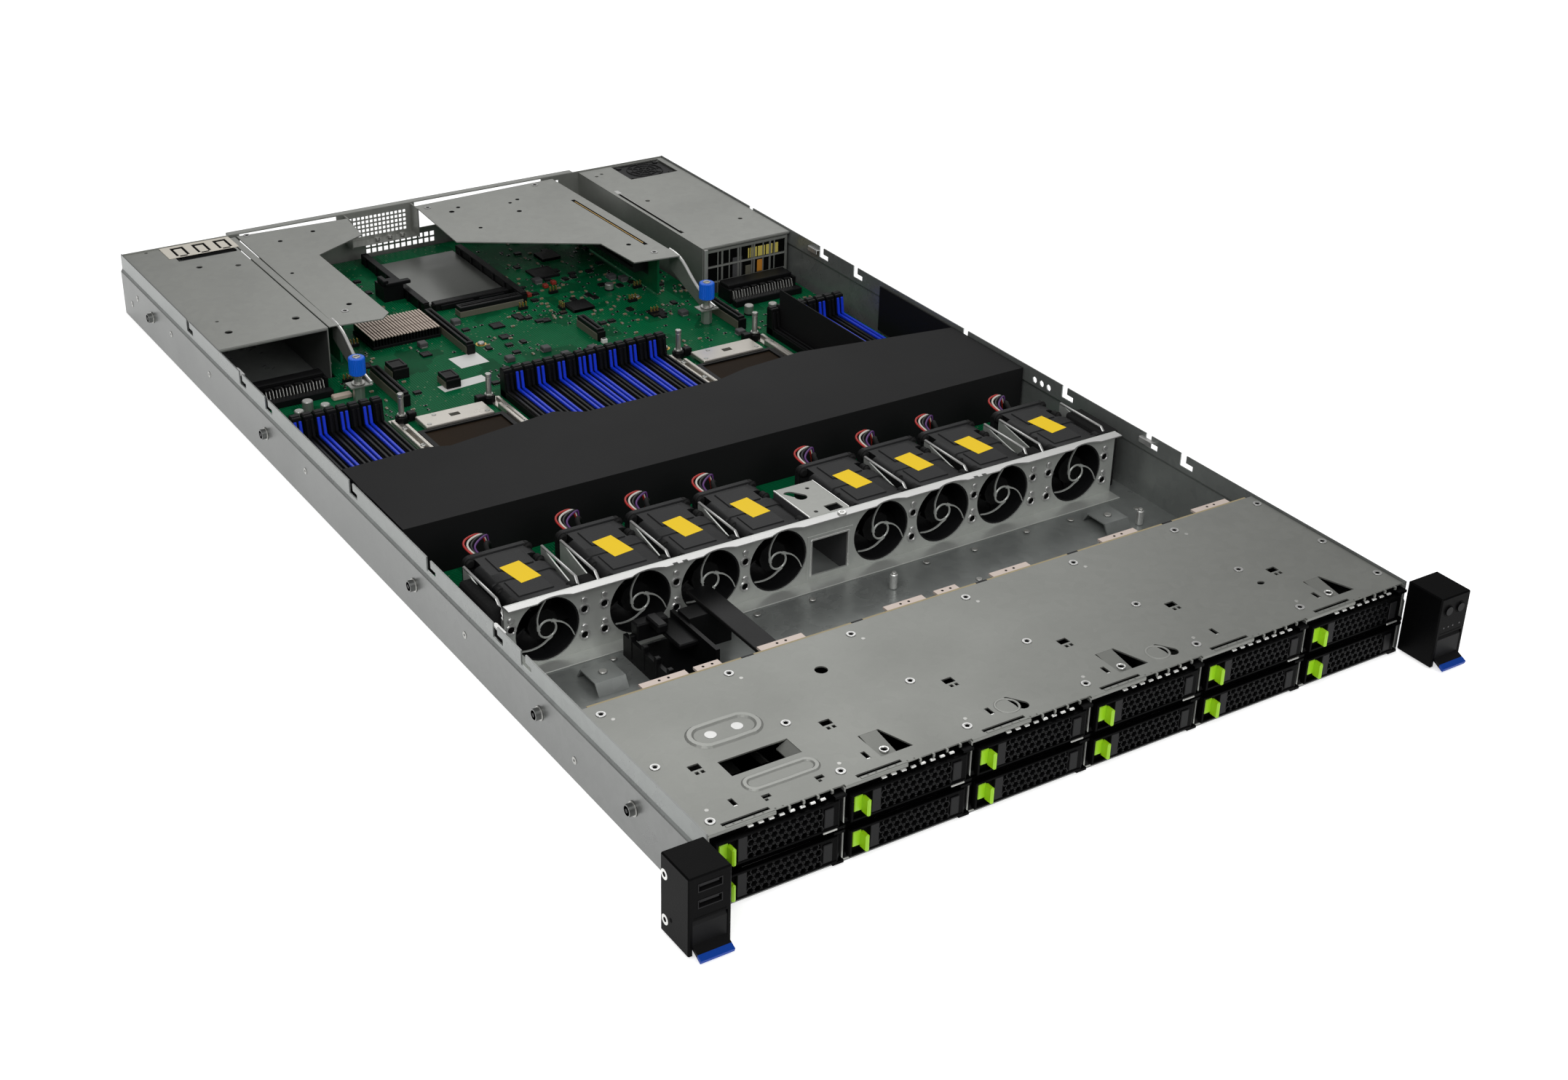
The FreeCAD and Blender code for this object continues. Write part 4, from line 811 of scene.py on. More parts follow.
def makeCagePlate():
    side, low, top = plate["side"], plate["low"], plate["top"]
    sheet = block("sheet", plateZinc, (-side, side), (0, plate["depth"]), (low, top), 0.15)
    lip = block("lip", zincSheet, (-side, side), (0.02, 0.8), (plate["lip"], low + 0.2))
    carveAll(sheet, plateCutters((38.0, 45.0)))
    carveAll(lip, [tool for k in range(columns) for tool in toothCutters(k)])
    parts = [sheet, lip, pressedRing(-167.5, 66.8, top, 9.5, 8.4, 2.2),
             pressedRing(-164.0, 23.0, top, 14.0, 4.8, 1.7)]
    parts += [pressedRing(x - 7.0, y + 3.0, top, 0, 6.0, 0.7) for x, y in plate["tears"]]
    parts += [disc("spot", guardWire, (x, 66.8, top + 0.05), 3.0, 0.2, 20, 0.05)
              for x in plate["pressedSpots"]]
    x1, y0, y1 = plate["window"][1:]
    ramp = block("ramp", plateZinc, (x1 - 6.0, x1 + 0.4), (y0 + 0.3, y1 - 0.3), (top - 0.7, top - 0.1))
    pushPoints(ramp, before("X", x1 - 3), z=-3.4)
    parts.append(ramp)
    for x, y in plate["louvres"]:
        tongue = block("tongue", plateZinc, (x - 5.2, x + 4.6), (y - 8.6, y + 10.6), (top - 0.7, top - 0.05))
        pushPoints(tongue, before("Y", y), z=-3.0)
        hole = cutRod((x, y - 2.5, top - 2.0), 1.7, 6.0, 16)
        carve(tongue, hole)
        collar = ring("collar", brightSteel, (x, y - 2.5, top - 1.9), 2.1, 0.45, around=18)
        parts += [tongue, collar]
    for k in range(columns):
        x, y = plate["shortSlot"][0] + k * plate["pitch"], plate["shortSlot"][1]
        parts.append(block("slotEnd", brightSteel, about(x, 1.15), (y - 3.2, y - 1.9), (top - 0.9, top - 0.3),
                           0.1))
        x = plate["longSlit"][0] + k * plate["pitch"]
        shelf = block("shelf", plateZinc, (x + 1, x + 33), (0.9, 2.5), (top - 0.1, top + 0.25), 0.1)
        holes = [cutRod((x + step, 1.7, top), 0.5, 3.0, 8) for step in plate["shelfHoles"]]
        carveAll(shelf, holes)
        parts.append(shelf)
    for x in plate["rivetColumns"][:-1]:
        for y in plate["dimpleRows"]:
            parts.append(disc("dimple", silverPart, (x + 3.0, y, top + 0.02), 1.1, 0.14, 12, 0.05))
    return joined("cagePlate", parts)


def addCagePlate():
    dress(makeCagePlate(), "chassis", "zinc_sheet", "cage_top_plate")
    spots = []
    for x in plate["rivetColumns"]:
        for y in plate["rivetRows"]:
            edge = plate["edgeRivets"].get(x, y) if y == plate["rivetRows"][0] else y
            spots.append((x, edge, plate["top"], 0))
    dress(planted("plateRivets", makeRivet(), spots), "chassis", "zinc_sheet")
    fingers = []
    for left in cageGrid["left"]:
        for k in range(plate["fingers"]):
            x = left + plate["fingerStart"] + k * plate["fingerStep"]
            fingers.append(block("finger", brightSteel, (x, x + 2.8), (-1.4, 0.0), (39.7, 40.6), 0.2))
    dress(joined("gasketFingers", fingers), "chassis", "zinc_sheet")


addCagePlate()
print("cage plate done")


# Fan wall: collared holes and domes, swirl guards, a wavy bright flange, dividers and bracket
wall = {"front": 221.7, "sheet": 0.8, "half": 205.0, "top": 41.8, "bore": 18.8, "foot": 10.0, "flange": 6.0,
        "gaps": [-158.4, -146.4, -102.3, -58.5, 54.9, 98.7, 142.6, 154.4, -201.2, 197.6],
        "collarHeights": [26.9, 11.2], "domeHeights": [32.6, 16.2], "window": (-15.0, 10.4, 5.0, 28.0),
        "wideGaps": [-152.1, 148.5], "wideStep": 11.6, "singles": [-102.8, -59.0, 54.4, 98.2],
        "bracket": 38.0, "guardRing": 5.1, "arms": 3, "dividerLength": 48.0, "armSteps": 12, "armTurn": -86,
        "scallop": 20.0, "scallopBack": 17.0, "notches": (-102.3, 98.7)}
fan = {"x": [-180.0, -124.2, -80.4, -36.6, 33.0, 76.8, 120.6, 176.4], "z": 21.0, "front": 222.6,
       "rear": 282.4,
       "half": 19.9, "bore": 17.9, "sticker": (12.6, 20.5), "stickerTurn": 8.0, "stickerY": 252.0}


def swirlArm(start):
    # spun from the hub ring outwards; each spin step also widens the circle
    z = fan["z"]
    y = wall["front"] + 0.4
    deselectAll()
    bpy.ops.mesh.primitive_plane_add(size=1, location=at(wall["guardRing"], y, z), rotation=(0, 0, 0))
    bpy.context.object.scale = (1.9 * mm, 0.9 * mm, 1)
    arm = settleNew("arm", wallZincPaintedLight)
    editWith(arm, lambda face: True)
    steps = wall["armSteps"]
    for i in range(steps):
        bpy.ops.mesh.extrude_region_move(TRANSFORM_OT_translate={"value": (0, 0, 0)})
        bpy.ops.transform.rotate(value=math.radians(wall["armTurn"] / steps), orient_axis="Y",
                                 center_override=at(0, y, z))
        grow = 1.0 + (0.06 if i < 4 else 0.135)
        bpy.ops.transform.resize(value=(grow, 1, grow), center_override=at(0, y, z))
        bpy.ops.transform.resize(value=(0.84, 1, 0.84))
    leaveEdit()
    turned(arm, (0, 0, z), start, "Y")
    editWith(arm, lambda face: True)
    bpy.ops.mesh.normals_make_consistent(inside=False)
    leaveEdit()
    return arm


def makeCollars():
    y = wall["front"]
    parts = []
    for z in wall["collarHeights"]:
        parts.append(ring("collar", guardWire, (0, y - 0.2, z), 2.6, 0.7, "Y", around=16))
        # The hole inside each collar is a black disc: painted shade.
        parts.append(rod("collarHole", deepBlack, (0, y - 0.02, z), 2.0, 0.1, "Y", 16, 0.02))
    for z in wall["domeHeights"]:
        parts.append(rod("dome", guardWire, (0, y - 0.5, z), 1.9, 1.1, "Y", 14, 0.45))
    return joined("collars", parts)


def makeDivider(x, side):
    y0 = wall["front"] + wall["sheet"] + 0.1
    y1 = y0 + wall["dividerLength"]
    top = wall["top"]
    sheet = block("dividerSheet", wallZincPaintedLight, about(x, 0.4), (y0, y1), (0.8, top - 0.6))
    pushPoints(sheet, lambda point: point.z > at(0, 0, 30).z and point.y < at(0, y0 + 1, 0).y, z=-9.0)
    strip = block("dividerStrip", guardWire, (x - 0.8, x + 0.9), (y0 + 9.0, y1), (top - 1.0, top + 0.3), 0.4)
    nose = block("dividerNose", guardWire, (x - 0.8, x + 0.9), (y0 + 1.0, y0 + 9.4), (top - 1.1, top + 0.2),
                 0.4)
    pushPoints(nose, before("Y", y0 + 5), x=side * 0.6, z=-8.0)
    smoothByAngle(strip, 50)
    return [sheet, strip, nose]


def makeWallSheet():
    y0 = wall["front"]
    y1 = y0 + wall["sheet"]
    half, top = wall["half"], wall["top"]
    sheet = block("wallSheet", wallZincPaintedLight, (-half, half), (y0, y1), (0.8, top))
    x0, x1, z0, z1 = wall["window"]
    tools = [rod("cut", wallZincPaintedLight, (x, y0, fan["z"]), wall["bore"], 6.0, "Y", 40) for x in fan["x"]]
    tools.append(block("cut", wallZincPaintedLight, (x0, x1), (y0 - 2, y1 + 2), (z0, z1)))
    carveAll(sheet, tools)
    foot = block("wallFoot", wallZincPaintedLight, (-half, half), (y0 - wall["foot"], y0 + 0.1), (0.8, 1.6), 0.2)
    flange = block("wallFlange", guardWire, (-half, half), (y0 - wall["flange"], y0 + 0.2), (top - 0.8, top),
                   0.15)
    waves = []
    for x in fan["x"]:
        scallopY = y0 - wall["flange"] - wall["scallopBack"]
        waves.append(rod("cut", wallZincPaintedLight, (x + 2, scallopY, top), wall["scallop"], 6.0, sides=40))
    for x in wall["notches"]:
        waves += [block("cut", wallZincPaintedLight, (x - 5 + step, x - 2 + step), (y0 - 7.5, y0 - 4.2), about(top, 3))
                  for step in (0, 6)]
    carveAll(flange, waves)
    frame = []
    for x in (x0, x1):
        frame.append(block("windowSide", brightSteel, about(x, 0.6), (y0 - 0.8, y0 + 1.0), (z0, z1), 0.2))
    frame.append(block("windowTop", brightSteel, (x0, x1), (y0 - 0.8, y0 + 1.0), about(z1, 0.6), 0.2))
    step = block("windowFrame", wallZincPaintedLight, (x0 - 2.6, x1 + 2.6), (y0 - 0.5, y0 + 0.1), (z0 - 2, z1 + 2.6), 0.2)
    carve(step, block("cut", wallZincPaintedLight, (x0, x1), about(y0, 4), (z0, z1)))
    return [sheet, foot, flange, step] + frame


def makeBracket():
    x0, x1 = wall["window"][0] - 0.4, wall["window"][1] + 0.4
    y0 = wall["front"] + wall["sheet"] + 0.1
    top = wall["top"]
    cover = block("bracketTop", zincSheet, (x0, x1), (y0, y0 + wall["bracket"]), (top - 0.8, top), 0.2)
    tear = cutRod((x0 + 9.5, y0 + 24, top), 3.6, 6.0)
    pushPoints(tear, past("Y", y0 + 25.5), x=-4.2, y=5.5)
    tools = [tear, cutRod((x1 - 8, y0 + 31, top), 1.3, 6.0, 12),
             cutRod((x0 + 7, y0 + 5, top), 1.3, 6.0, 12),
             cutBox((x1 - 12, x1 - 3), (y0 + 1.5, y0 + 8.5), about(top, 3))]
    carveAll(cover, tools)
    parts = [cover]
    # The legs are zinc sheet painted dark grey: painted shade inside the cable window.
    for x in (x0, x1 - 0.8):
        parts.append(block("bracketLeg", chokeGrey, (x, x + 0.8), (y0, y0 + wall["bracket"]),
                           (0.8, top - 0.4)))
    for x in (x0, x1):
        parts.append(block("bracketEdge", brightSteel, about(x, 0.5), (y0 + 0.5, y0 + wall["bracket"]),
                           (top - 0.6, top + 0.3), 0.25))
    parts.append(disc("bracketNut", brightSteel, (x1 - 8, y0 - 4.2, top + 0.5), 2.7, 1.2, 6, 0.25))
    parts.append(disc("bracketNutCore", silverPart, (x1 - 8, y0 - 4.2, top + 1.0), 1.3, 0.6, 12, 0.15))
    return parts


def addWall():
    parts = makeWallSheet() + makeBracket()
    collars = makeCollars()
    parts += [copied(collars, x) for x in wall["gaps"]]
    guard = [ring("hubRing", wallZincPaintedLight, (0, wall["front"] + 0.4, fan["z"]), wall["guardRing"], 0.62, "Y",
                  around=24)]
    guard += [swirlArm(k * 360 / wall["arms"] + 62) for k in range(wall["arms"])]
    guard = joined("guard", guard)
    parts += [copied(guard, x) for x in fan["x"]]
    discard(collars, guard)
    for x in wall["wideGaps"]:
        for side in (-1, 1):
            parts += makeDivider(x + side * wall["wideStep"] / 2, side)
    for x in [-wall["half"] + 1.0, wall["half"] - 3.0] + wall["singles"]:
        parts += makeDivider(x, 1)
    dress(joined("fanWallDetail", parts), "chassis", "zinc_sheet", "fan_wall")


addWall()
print("fan wall done")


# Fans: moulded housing with steps, rubber knobs and a plain yellow sticker
def makeFanHousing():
    z, half = fan["z"], fan["half"]
    front, rear = fan["front"], fan["rear"]
    bands = [(front, front + 4.6, half, 3.0), (front + 4.4, rear - 4.0, half - 0.7, 4.2),
             (front + 25.0, front + 34.0, half - 0.2, 4.0), (rear - 4.2, rear, half - 0.1, 3.4)]
    parts = []
    for y0, y1, reach, cut in bands:
        band = block("band", fanCharcoal, (-reach, reach), (y0, y1), about(z, reach))
        cutCorners(band, 1, cut, 2)
        roundEdges(band, 0.6)
        carve(band, rod("cut", fanCharcoal, (0, (front + rear) / 2, z), fan["bore"], 70.0, "Y", 40))
        if y1 - y0 > 8:
            carve(band, block("cut", deepBlack, (12.5, 22.0), (front + 36.0, front + 46.0),
                              (z + half - 7.0, z + half + 3.0)))
            carve(band, block("cut", deepBlack, (-22.0, -14.5), (rear - 13.0, rear - 5.5),
                              (z + half - 6.0, z + half + 3.0)))
        parts.append(band)
    parts.append(block("panel", fanCharcoal, (-12.5, 8.5), (front + 6.5, front + 24.0),
                       (z + half - 1.4, z + half - 0.15), 0.5))
    parts.append(block("panel", fanCharcoal, (-9.5, 11.5), (front + 35.5, rear - 7.0),
                       (z + half - 1.4, z + half - 0.1), 0.5))
    body = joined("fanBody", parts)
    knobs = []
    for x, y, radius, length, drop in ((-17.4, front + 3.2, 2.9, 8.0, 2.2),
                                       (17.4, front + 3.2, 2.9, 8.0, 2.2),
                                       (16.8, front + 41.0, 2.5, 6.4, 3.0),
                                       (-17.0, front + 20.0, 2.1, 5.0, 2.8),
                                       (-17.4, rear - 4.0, 2.7, 6.0, 2.6), (17.2, rear - 3.4, 2.7, 6.0, 2.6)):
        knob = rod("knob", rubberBlack, (x, y, z + half - drop), radius, length, "Y", 14, 0.7)
        groove = ring("knobGroove", rubberBlack, (x, y - length * 0.18, z + half - drop), radius, 0.5, "Y",
                      14, 6)
        knobs += [knob, groove]
    wide, long = fan["sticker"]
    middle = fan["stickerY"]
    sticker = block("sticker", stickerYellow, (-wide / 2, wide / 2), about(middle, long / 2),
                    (z + half - 0.22, z + half - 0.04), 0.04, fan["stickerTurn"])
    return body, knobs, sticker


def addFans():
    body, knobs, sticker = makeFanHousing()
    knob = joined("knobs", knobs)
    for i, x in enumerate(fan["x"]):
        parts = [copied(piece, x) for piece in (body, knob, sticker)]
        piece = dress(joined("fanHousing_" + str(i + 1), parts), "chassis", "fan_black", "fan_housings")
        smoothByAngle(piece, 30)
    discard(body, knob, sticker)


addFans()
print("fans done")


# Foam seals beside the outer fans and between the fan pairs
foam = {"blocks": [(-211.5, -203.5, 226.0, 262.0), (199.0, 212.0, 226.0, 262.0),
                   (-157.0, -147.2, 224.0, 236.0),
                   (143.6, 153.4, 224.0, 236.0)], "top": 39.5}


def addFoam():
    for i, (x0, x1, y0, y1) in enumerate(foam["blocks"]):
        piece = block("foamSeal_" + str(i + 1), foamBlack, (x0, x1), (y0, y1), (1.0, foam["top"]), 1.4)
        makeActive(piece)
        bpy.ops.object.mode_set(mode="EDIT")
        bpy.ops.mesh.select_all(action="SELECT")
        bpy.ops.mesh.subdivide(number_cuts=3)
        leaveEdit()
        smoothByAngle(piece, 60)
        dress(piece, "chassis", "fan_black")


addFoam()
print("foam done")


# Fan leads: four coloured wires loop over from each fan to the black sleeve behind it
lead = {"route": [(-3.0, 281.0, 36.0), (-3.5, 286.0, 39.8), (0.0, 292.0, 39.4), (4.0, 297.0, 35.0),
                  (4.5, 298.6, 26.0),
                  (4.5, 298.6, 8.4)], "sleeve": 1.5, "wire": 0.62, "length": 0.047}


def makeRoute(name, points, finish, radius):
    curve = bpy.data.curves.new(name, "CURVE")
    curve.dimensions = "3D"
    curve.bevel_depth = radius * mm
    curve.bevel_resolution = 2
    curve.use_fill_caps = True
    spline = curve.splines.new("NURBS")
    spline.points.add(len(points) - 1)
    for point, place in zip(spline.points, points):
        point.co = (*place, 1.0)
    spline.order_u = 3
    spline.use_endpoint_u = True
    spline.resolution_u = 5
    curve.materials.append(finish)
    piece = bpy.data.objects.new(name, curve)
    bpy.context.scene.collection.objects.link(piece)
    return piece


def asMesh(route):
    piece = bpy.data.objects.new(route.name, bpy.data.meshes.new_from_object(route))
    bpy.context.scene.collection.objects.link(piece)
    discard(route)
    return piece


def addLeads():
    for i, x in enumerate(fan["x"]):
        points = [at(x + px, py, pz) for px, py, pz in lead["route"]]
        sleeve = makeRoute("fanLead_" + str(i + 1), points, rubberBlack, lead["sleeve"])
        dress(sleeve, "chassis", "lead_wire", "fan_leads")
        strands = []
        for k, key in enumerate(wires):
            step = k - 1.5
            rows = [at(x - 8.5 + 0.8 * step, 281.2, 37.0), at(x - 13.5 + 1.7 * step, 285.5, 42.3 - 0.5 * k),
                    at(x - 9.5 + 2.2 * step, 295.0 - 1.2 * k, 42.9 - 0.4 * k),
                    at(x + 1.0 + 1.6 * step, 299.0, 42.5 - 0.7 * k),
                    at(x + 3.0 + 0.6 * step, 298.4, 38.5), at(x + 4.2 + 0.3 * step, 298.9, 30.0)]
            strands.append(asMesh(makeRoute("wire", rows, wires[key], lead["wire"])))
        bundle = dress(joined("leadWires_" + str(i + 1), strands), "chassis", "lead_wire")


addLeads()
print("leads done")


# Memory sockets with towers: black ones, and blue ones with a double blue ridge that climbs the tower
memory = {"pitch": 7.62, "width": 6.4, "front": 368.0, "rear": 518.0, "rail": 14.0, "tower": 27.5,
          "towerLength": 9.0,
          "low": 8.0, "banks": [(-201.1, 8, (0, 2, 4, 6)), (-57.15, 16, (1, 3, 5, 7, 8, 10, 12, 14)),
                                (147.9, 8, (1, 3, 5, 7))]}


def makeMemorySocket(ridgeFinish):
    half = memory["width"] / 2
    rail = block("rail", blackPlastic, (-half, half), (memory["front"] + 1, memory["rear"] - 1),
                 (memory["low"], memory["rail"] - 0.8), 0.3)
    parts = [rail]
    for x in (-1.65, 1.65):
        parts.append(block("ridge", ridgeFinish, about(x, 0.95), (memory["front"] + 8, memory["rear"] - 8),
                           (memory["rail"] - 1.4, memory["rail"] + 0.6), 0.35))
    for side in (-1, 1):
        y = memory["front"] if side < 0 else memory["rear"]
        span = sorted((y, y - side * memory["towerLength"]))
        tower = block("tower", blackPlastic, (-half, half), span, (memory["low"], memory["tower"]))
        pushPoints(tower, lambda point: point.z > at(0, 0, 20).z
                   and (point.y - at(0, y - side * 4, 0).y) * side < 0,
                   y=side * 2.4)
        roundEdges(tower, 0.5)
        head = block("towerHead", blackPlastic, (-half + 0.3, half - 0.3),
                     sorted((y - side * 0.6, y - side * 4.6)),
                     (memory["tower"] - 2.6, memory["tower"] + 0.5), 0.4)
        parts += [tower, head]
        for x in (-1.65, 1.65):
            strip = block("climb", ridgeFinish, about(x, 0.95),
                          sorted((y - side * (memory["towerLength"] - 2.0),
                                  y - side * (memory["towerLength"] + 0.9))),
                          (memory["rail"] - 1.4, memory["tower"] - 2.0), 0.3)
            pushPoints(strip, past("Z", 20), y=side * 2.2)
            parts.append(strip)
    return joined("socketModel", parts)


def addSockets():
    blue = makeMemorySocket(socketBlue)
    black = makeMemorySocket(chipInk)
    rows = []
    for first, count, blueOnes in memory["banks"]:
        for i in range(count):
            rows.append(copied(blue if i in blueOnes else black, first + i * memory["pitch"]))
    dress(joined("memorySockets", rows), "chassis", "black_plastic", "board_sockets")
    discard(blue, black)


addSockets()
print("memory done")


# Processor sockets: contact field in a black frame, nickel rails with screws, rear plate and spring posts
socket = {"x": [("left", -102.0), ("right", 100.5)], "half": 30.0, "front": 414.0, "rear": 490.0, "low": 8.0,
          "postX": 30.5, "postRear": 511.5, "postTop": 28.6,
          "rails": [(31.0, 33.6, (409, 500), 4.6, 0.4), (35.4, 37.8, (409, 512), 3.2, 0.4),
                    (31.0, 38.0, (407.5, 516), 1.2, 0.2)], "screwRows": (420.0, 470.0, 497.0)}


def makeSocketBody(x):
    half, front, rear, low = socket["half"], socket["front"], socket["rear"], socket["low"]
    body = block("socketBody", blackPlastic, about(x, half), (front, rear), (low, low + 3.2), 0.4)
    sinkFace(body, topFace, 3.0, 1.4)
    field = block("field", pinField, about(x, 26.8), (front + 3.2, rear - 3.2), (low + 1.6, low + 2.0), 0.1)
    window = block("fieldBar", blackPlastic, about(x, 9), (448, 456), (low + 1.8, low + 2.3), 0.2)
    return [body, field, window]


def makeScrew(finish):
    head = disc("screwHead", finish, (0, 0, 0.6), 2.0, 1.2, 16, 0.35)
    sinkFace(head, topFace, 0.8, 0.5)
    return atZero(head)


def addProcessors():
    screw = makeScrew(silverPart)
    low = socket["low"]
    for side, x in socket["x"]:
        dress(joined("processorSocket_" + side, makeSocketBody(x)), "chassis", "black_plastic",
              "board_sockets")
        rails = []
        for reach in (-1, 1):
            for near, far, ys, high, rounding in socket["rails"]:
                xs = sorted((x + reach * near, x + reach * far))
                rails.append(block("rail", nickelPlate, xs, ys, (low, low + high), rounding))
            for y in socket["screwRows"]:
                rails.append(toFront(copied(screw, x + reach * 34.6, y, low + 2.6)))
        plateHere = block("rearPlate", nickelPlate, about(x, 23.5), (489.0, 507.0), (low + 1.6, low + 4.6),
                          0.4)
        carve(plateHere, block("cut", nickelPlate, about(x, 3.4), (496.2, 500.6), (low - 2, low + 9)))
        for plateX, plateY in ((x - 20, 492.5), (x + 20, 492.5), (x - 12, 503.5)):
            rails.append(disc("plateMark", silverPart, (plateX, plateY, low + 4.7), 1.5, 0.5, 12, 0.15))
        rails.append(plateHere)
        rails.append(block("frontPlate", nickelPlate, about(x, 24), (407.5, 412.5), (low, low + 2.6), 0.4))
        dress(joined("processorRails_" + side, rails), "chassis", "nickel_plate", "board_brackets")
        posts = []
        for reach in (-1, 1):
            for y in (410.5, socket["postRear"]):
                px = x + reach * socket["postX"]
                posts.append(disc("postBase", blackPlastic, (px, y, low + 2.6), 4.2, 5.2, 14, 0.6))
                posts.append(disc("postBody", silverPart, (px, y, low + 11.0), 1.9, 14.0, 14, 0.2))
                posts.append(disc("postCollar", silverPart, (px, y, low + 6.0), 2.9, 1.4, 14, 0.3))
                posts.append(disc("postTip", silverPart, (px, y, socket["postTop"] - 1.2), 2.3, 2.4, 6, 0.3))
                posts.append(block("postLatch", blackPlastic, sorted((px - reach * 4.0, px - reach * 9.5)),
                                   about(y, 2.6),
                                   (low + 1.0, low + 6.4), 0.5))
        dress(joined("processorPosts_" + side, posts), "chassis", "nickel_plate", "board_brackets")
    discard(screw)


addProcessors()
print("processors done")


# Chipset heatsink, card bay plate and the nuts under the riser screws
cooling = {"x": (-103.0, -53.0), "y": (623.0, 658.0), "low": 8.0, "top": 16.0, "fins": 22}
bay = {"x": (-42.0, 21.5), "y": (672.0, 761.0), "top": 10.0}
riserScrews = {"left": (-142.0, 556.0), "right": (117.7, 553.4)}


def addHeatsink():
    x0, x1 = cooling["x"]
    y0, y1 = cooling["y"]
    low, top = cooling["low"], cooling["top"]
    parts = [block("base", chipInk, (x0, x1), (y0, y1), (low, low + 2.2), 0.3)]
    pitch = (x1 - x0) / cooling["fins"]
    third = (y1 - y0) / 3
    for i in range(cooling["fins"]):
        for k in range(3):
            x = x0 + i * pitch
            span = (y0 + k * third + 0.35, y0 + (k + 1) * third - 0.35)
            parts.append(block("fin", pinkBar, (x + 0.5, x + pitch - 0.5), span, (top - 0.7, top)))
            parts.append(block("finSheet", chipInk, (x + 0.8, x + pitch - 0.8), span, (low + 2.0, top - 0.6)))
    dress(joined("heatsinkDetail", parts), "chassis", "nickel_plate", "board_brackets")


def addBay():
    (x0, x1), (y0, y1) = bay["x"], bay["y"]
    tray = block("bayTray", bayGrey, (x0, x1), (y0, y1), (8.0, bay["top"]), 0.4)
    parts = [tray, block("bayLip", bayGrey, (x0 + 4, x1 - 4), about(y0, 1.0), (8.0, 11.0), 0.4)]
    dress(joined("bayPlate", parts), "chassis", "zinc_sheet", "board_brackets")
    guides = []
    for gx0, gx1, gy0, gy1 in ((x0 - 4.3, x0 - 0.3, y0 - 8, y1 + 13), (x1 + 0.3, x1 + 4.3, y0 - 24, y1 - 4)):
        guides.append(block("guideTop", blackPlastic, (gx0 - 0.5, gx1 + 0.5), (gy0 + 1, gy1 - 1),
                            (14.8, 15.9), 0.3))
        for k in range(6):
            y = gy0 + (k + 0.5) * (gy1 - gy0) / 6
            guides.append(block("guideRib", blackPlastic, (gx0 - 0.9, gx0 + 0.2), about(y, 1.2), (8.2, 14.6),
                                0.2))
    clip = (x0 - 20, x0 - 5)
    guides += [block("clipArm", blackPlastic, (clip[0] + 2, clip[1] + 6), (697, 702), (18.8, 21.5), 0.5),
               block("clipArm", blackPlastic, (clip[0] + 1, clip[0] + 5), (699, 711), (18.8, 23.0), 0.6),
               block("bayPort", blackPlastic, (x0 + 4, x1 - 2), (664.0, 671.0), (8.0, 13.6), 0.5),
               block("bayPort", chipInk, (x0 + 8, x1 - 30), (662.6, 664.4), (9.0, 12.4), 0.3),
               block("bayPort", chipInk, (x1 - 26, x1 - 6), (662.6, 664.4), (9.0, 12.4), 0.3)]
    dress(joined("bayGuides", guides), "chassis", "black_plastic")


def addNuts():
    for side, (x, y) in riserScrews.items():
        nut = rod("riserNut_" + side, silverPart, (x, y, 13.4), 4.0, 10.8, sides=6, rounding=0.4)
        sinkFace(nut, topFace, 1.6, 5.0)
        dress(nut, "chassis", "nickel_plate", "board_brackets")


addHeatsink()
addBay()
addNuts()
print("board metal done")


# Connectors on the board: slim sockets with light shells, supply edge connectors with bright pins
connectors = {"slim": [(-50.5, -45.5, 588.0, 654.0, 8.0), (-122.5, -117.5, 534.0, 582.0, 9.0),
                       (131.0, 136.0, 533.0, 580.0, 9.0), (36.5, 41.5, 564.0, 592.0, 8.0),
                       (-27.0, 21.0, 646.0, 653.0, 7.0)],
              "small": [(-110.2, -99.8, 574.8, 586.2, 8.1), (-86.2, -76.8, 544.8, 556.2, 7.1)],
              "combs": [(-207.75, -153.75, 578.0, 590.0), (149.75, 205.75, 574.0, 590.0)], "low": 8.0,
              "pins": 22}


def addConnectors():
    low = connectors["low"]
    parts = []
    for x0, x1, y0, y1, height in connectors["slim"] + connectors["small"]:
        top = low + height
        shell = block("shell", shellTan, (x0 - 0.7, x1 + 0.7), (y0 - 0.9, y1 + 0.9), (low, top - 2.6), 0.3)
        rim = block("rim", chipInk, (x0 - 0.3, x1 + 0.3), (y0 - 0.4, y1 + 0.4), (top - 2.8, top + 0.3), 0.3)
        sinkFace(rim, topFace, 1.2, 1.6)
        parts += [shell, rim]
        middle = (x0 + x1) / 2
        if x1 - x0 <= y1 - y0:
            parts.append(block("contacts", goldContact, (middle - 1.5, middle - 1.1), (y0 + 3, y1 - 3),
                               (top - 1.6, top - 0.7)))
            parts.append(block("endLatch", blackPlastic, (x0 - 0.4, x1 + 0.4), (y0 - 2.6, y0 + 0.2),
                               (low, top - 1.0), 0.4))
    dress(joined("slimSockets", parts), "chassis", "black_plastic")
    pins = []
    for x0, x1, y0, y1 in connectors["combs"]:
        pins.append(block("combTop", blackPlastic, (x0 + 1, x1 - 1), (y0 + 4, y1 + 0.2),
                          (low + 9.8, low + 12.4), 0.5))
        step = (x1 - x0 - 4) / connectors["pins"]
        for k in range(connectors["pins"]):
            x = x0 + 2.4 + k * step
            pin = block("pin", silverPart, (x, x + 0.7), (y0 - 2.6, y0 + 0.4), (low + 2.0, low + 9.2), 0.2)
            pushPoints(pin, past("Z", low + 5), y=2.4)
            pins.append(pin)
        pins.append(block("combFoot", chipInk, (x0, x1), (y0 - 9, y0 - 3), (low, low + 5.0), 0.5))
    dress(joined("supplyCombs", pins), "chassis", "black_plastic")


addConnectors()
print("connectors done")


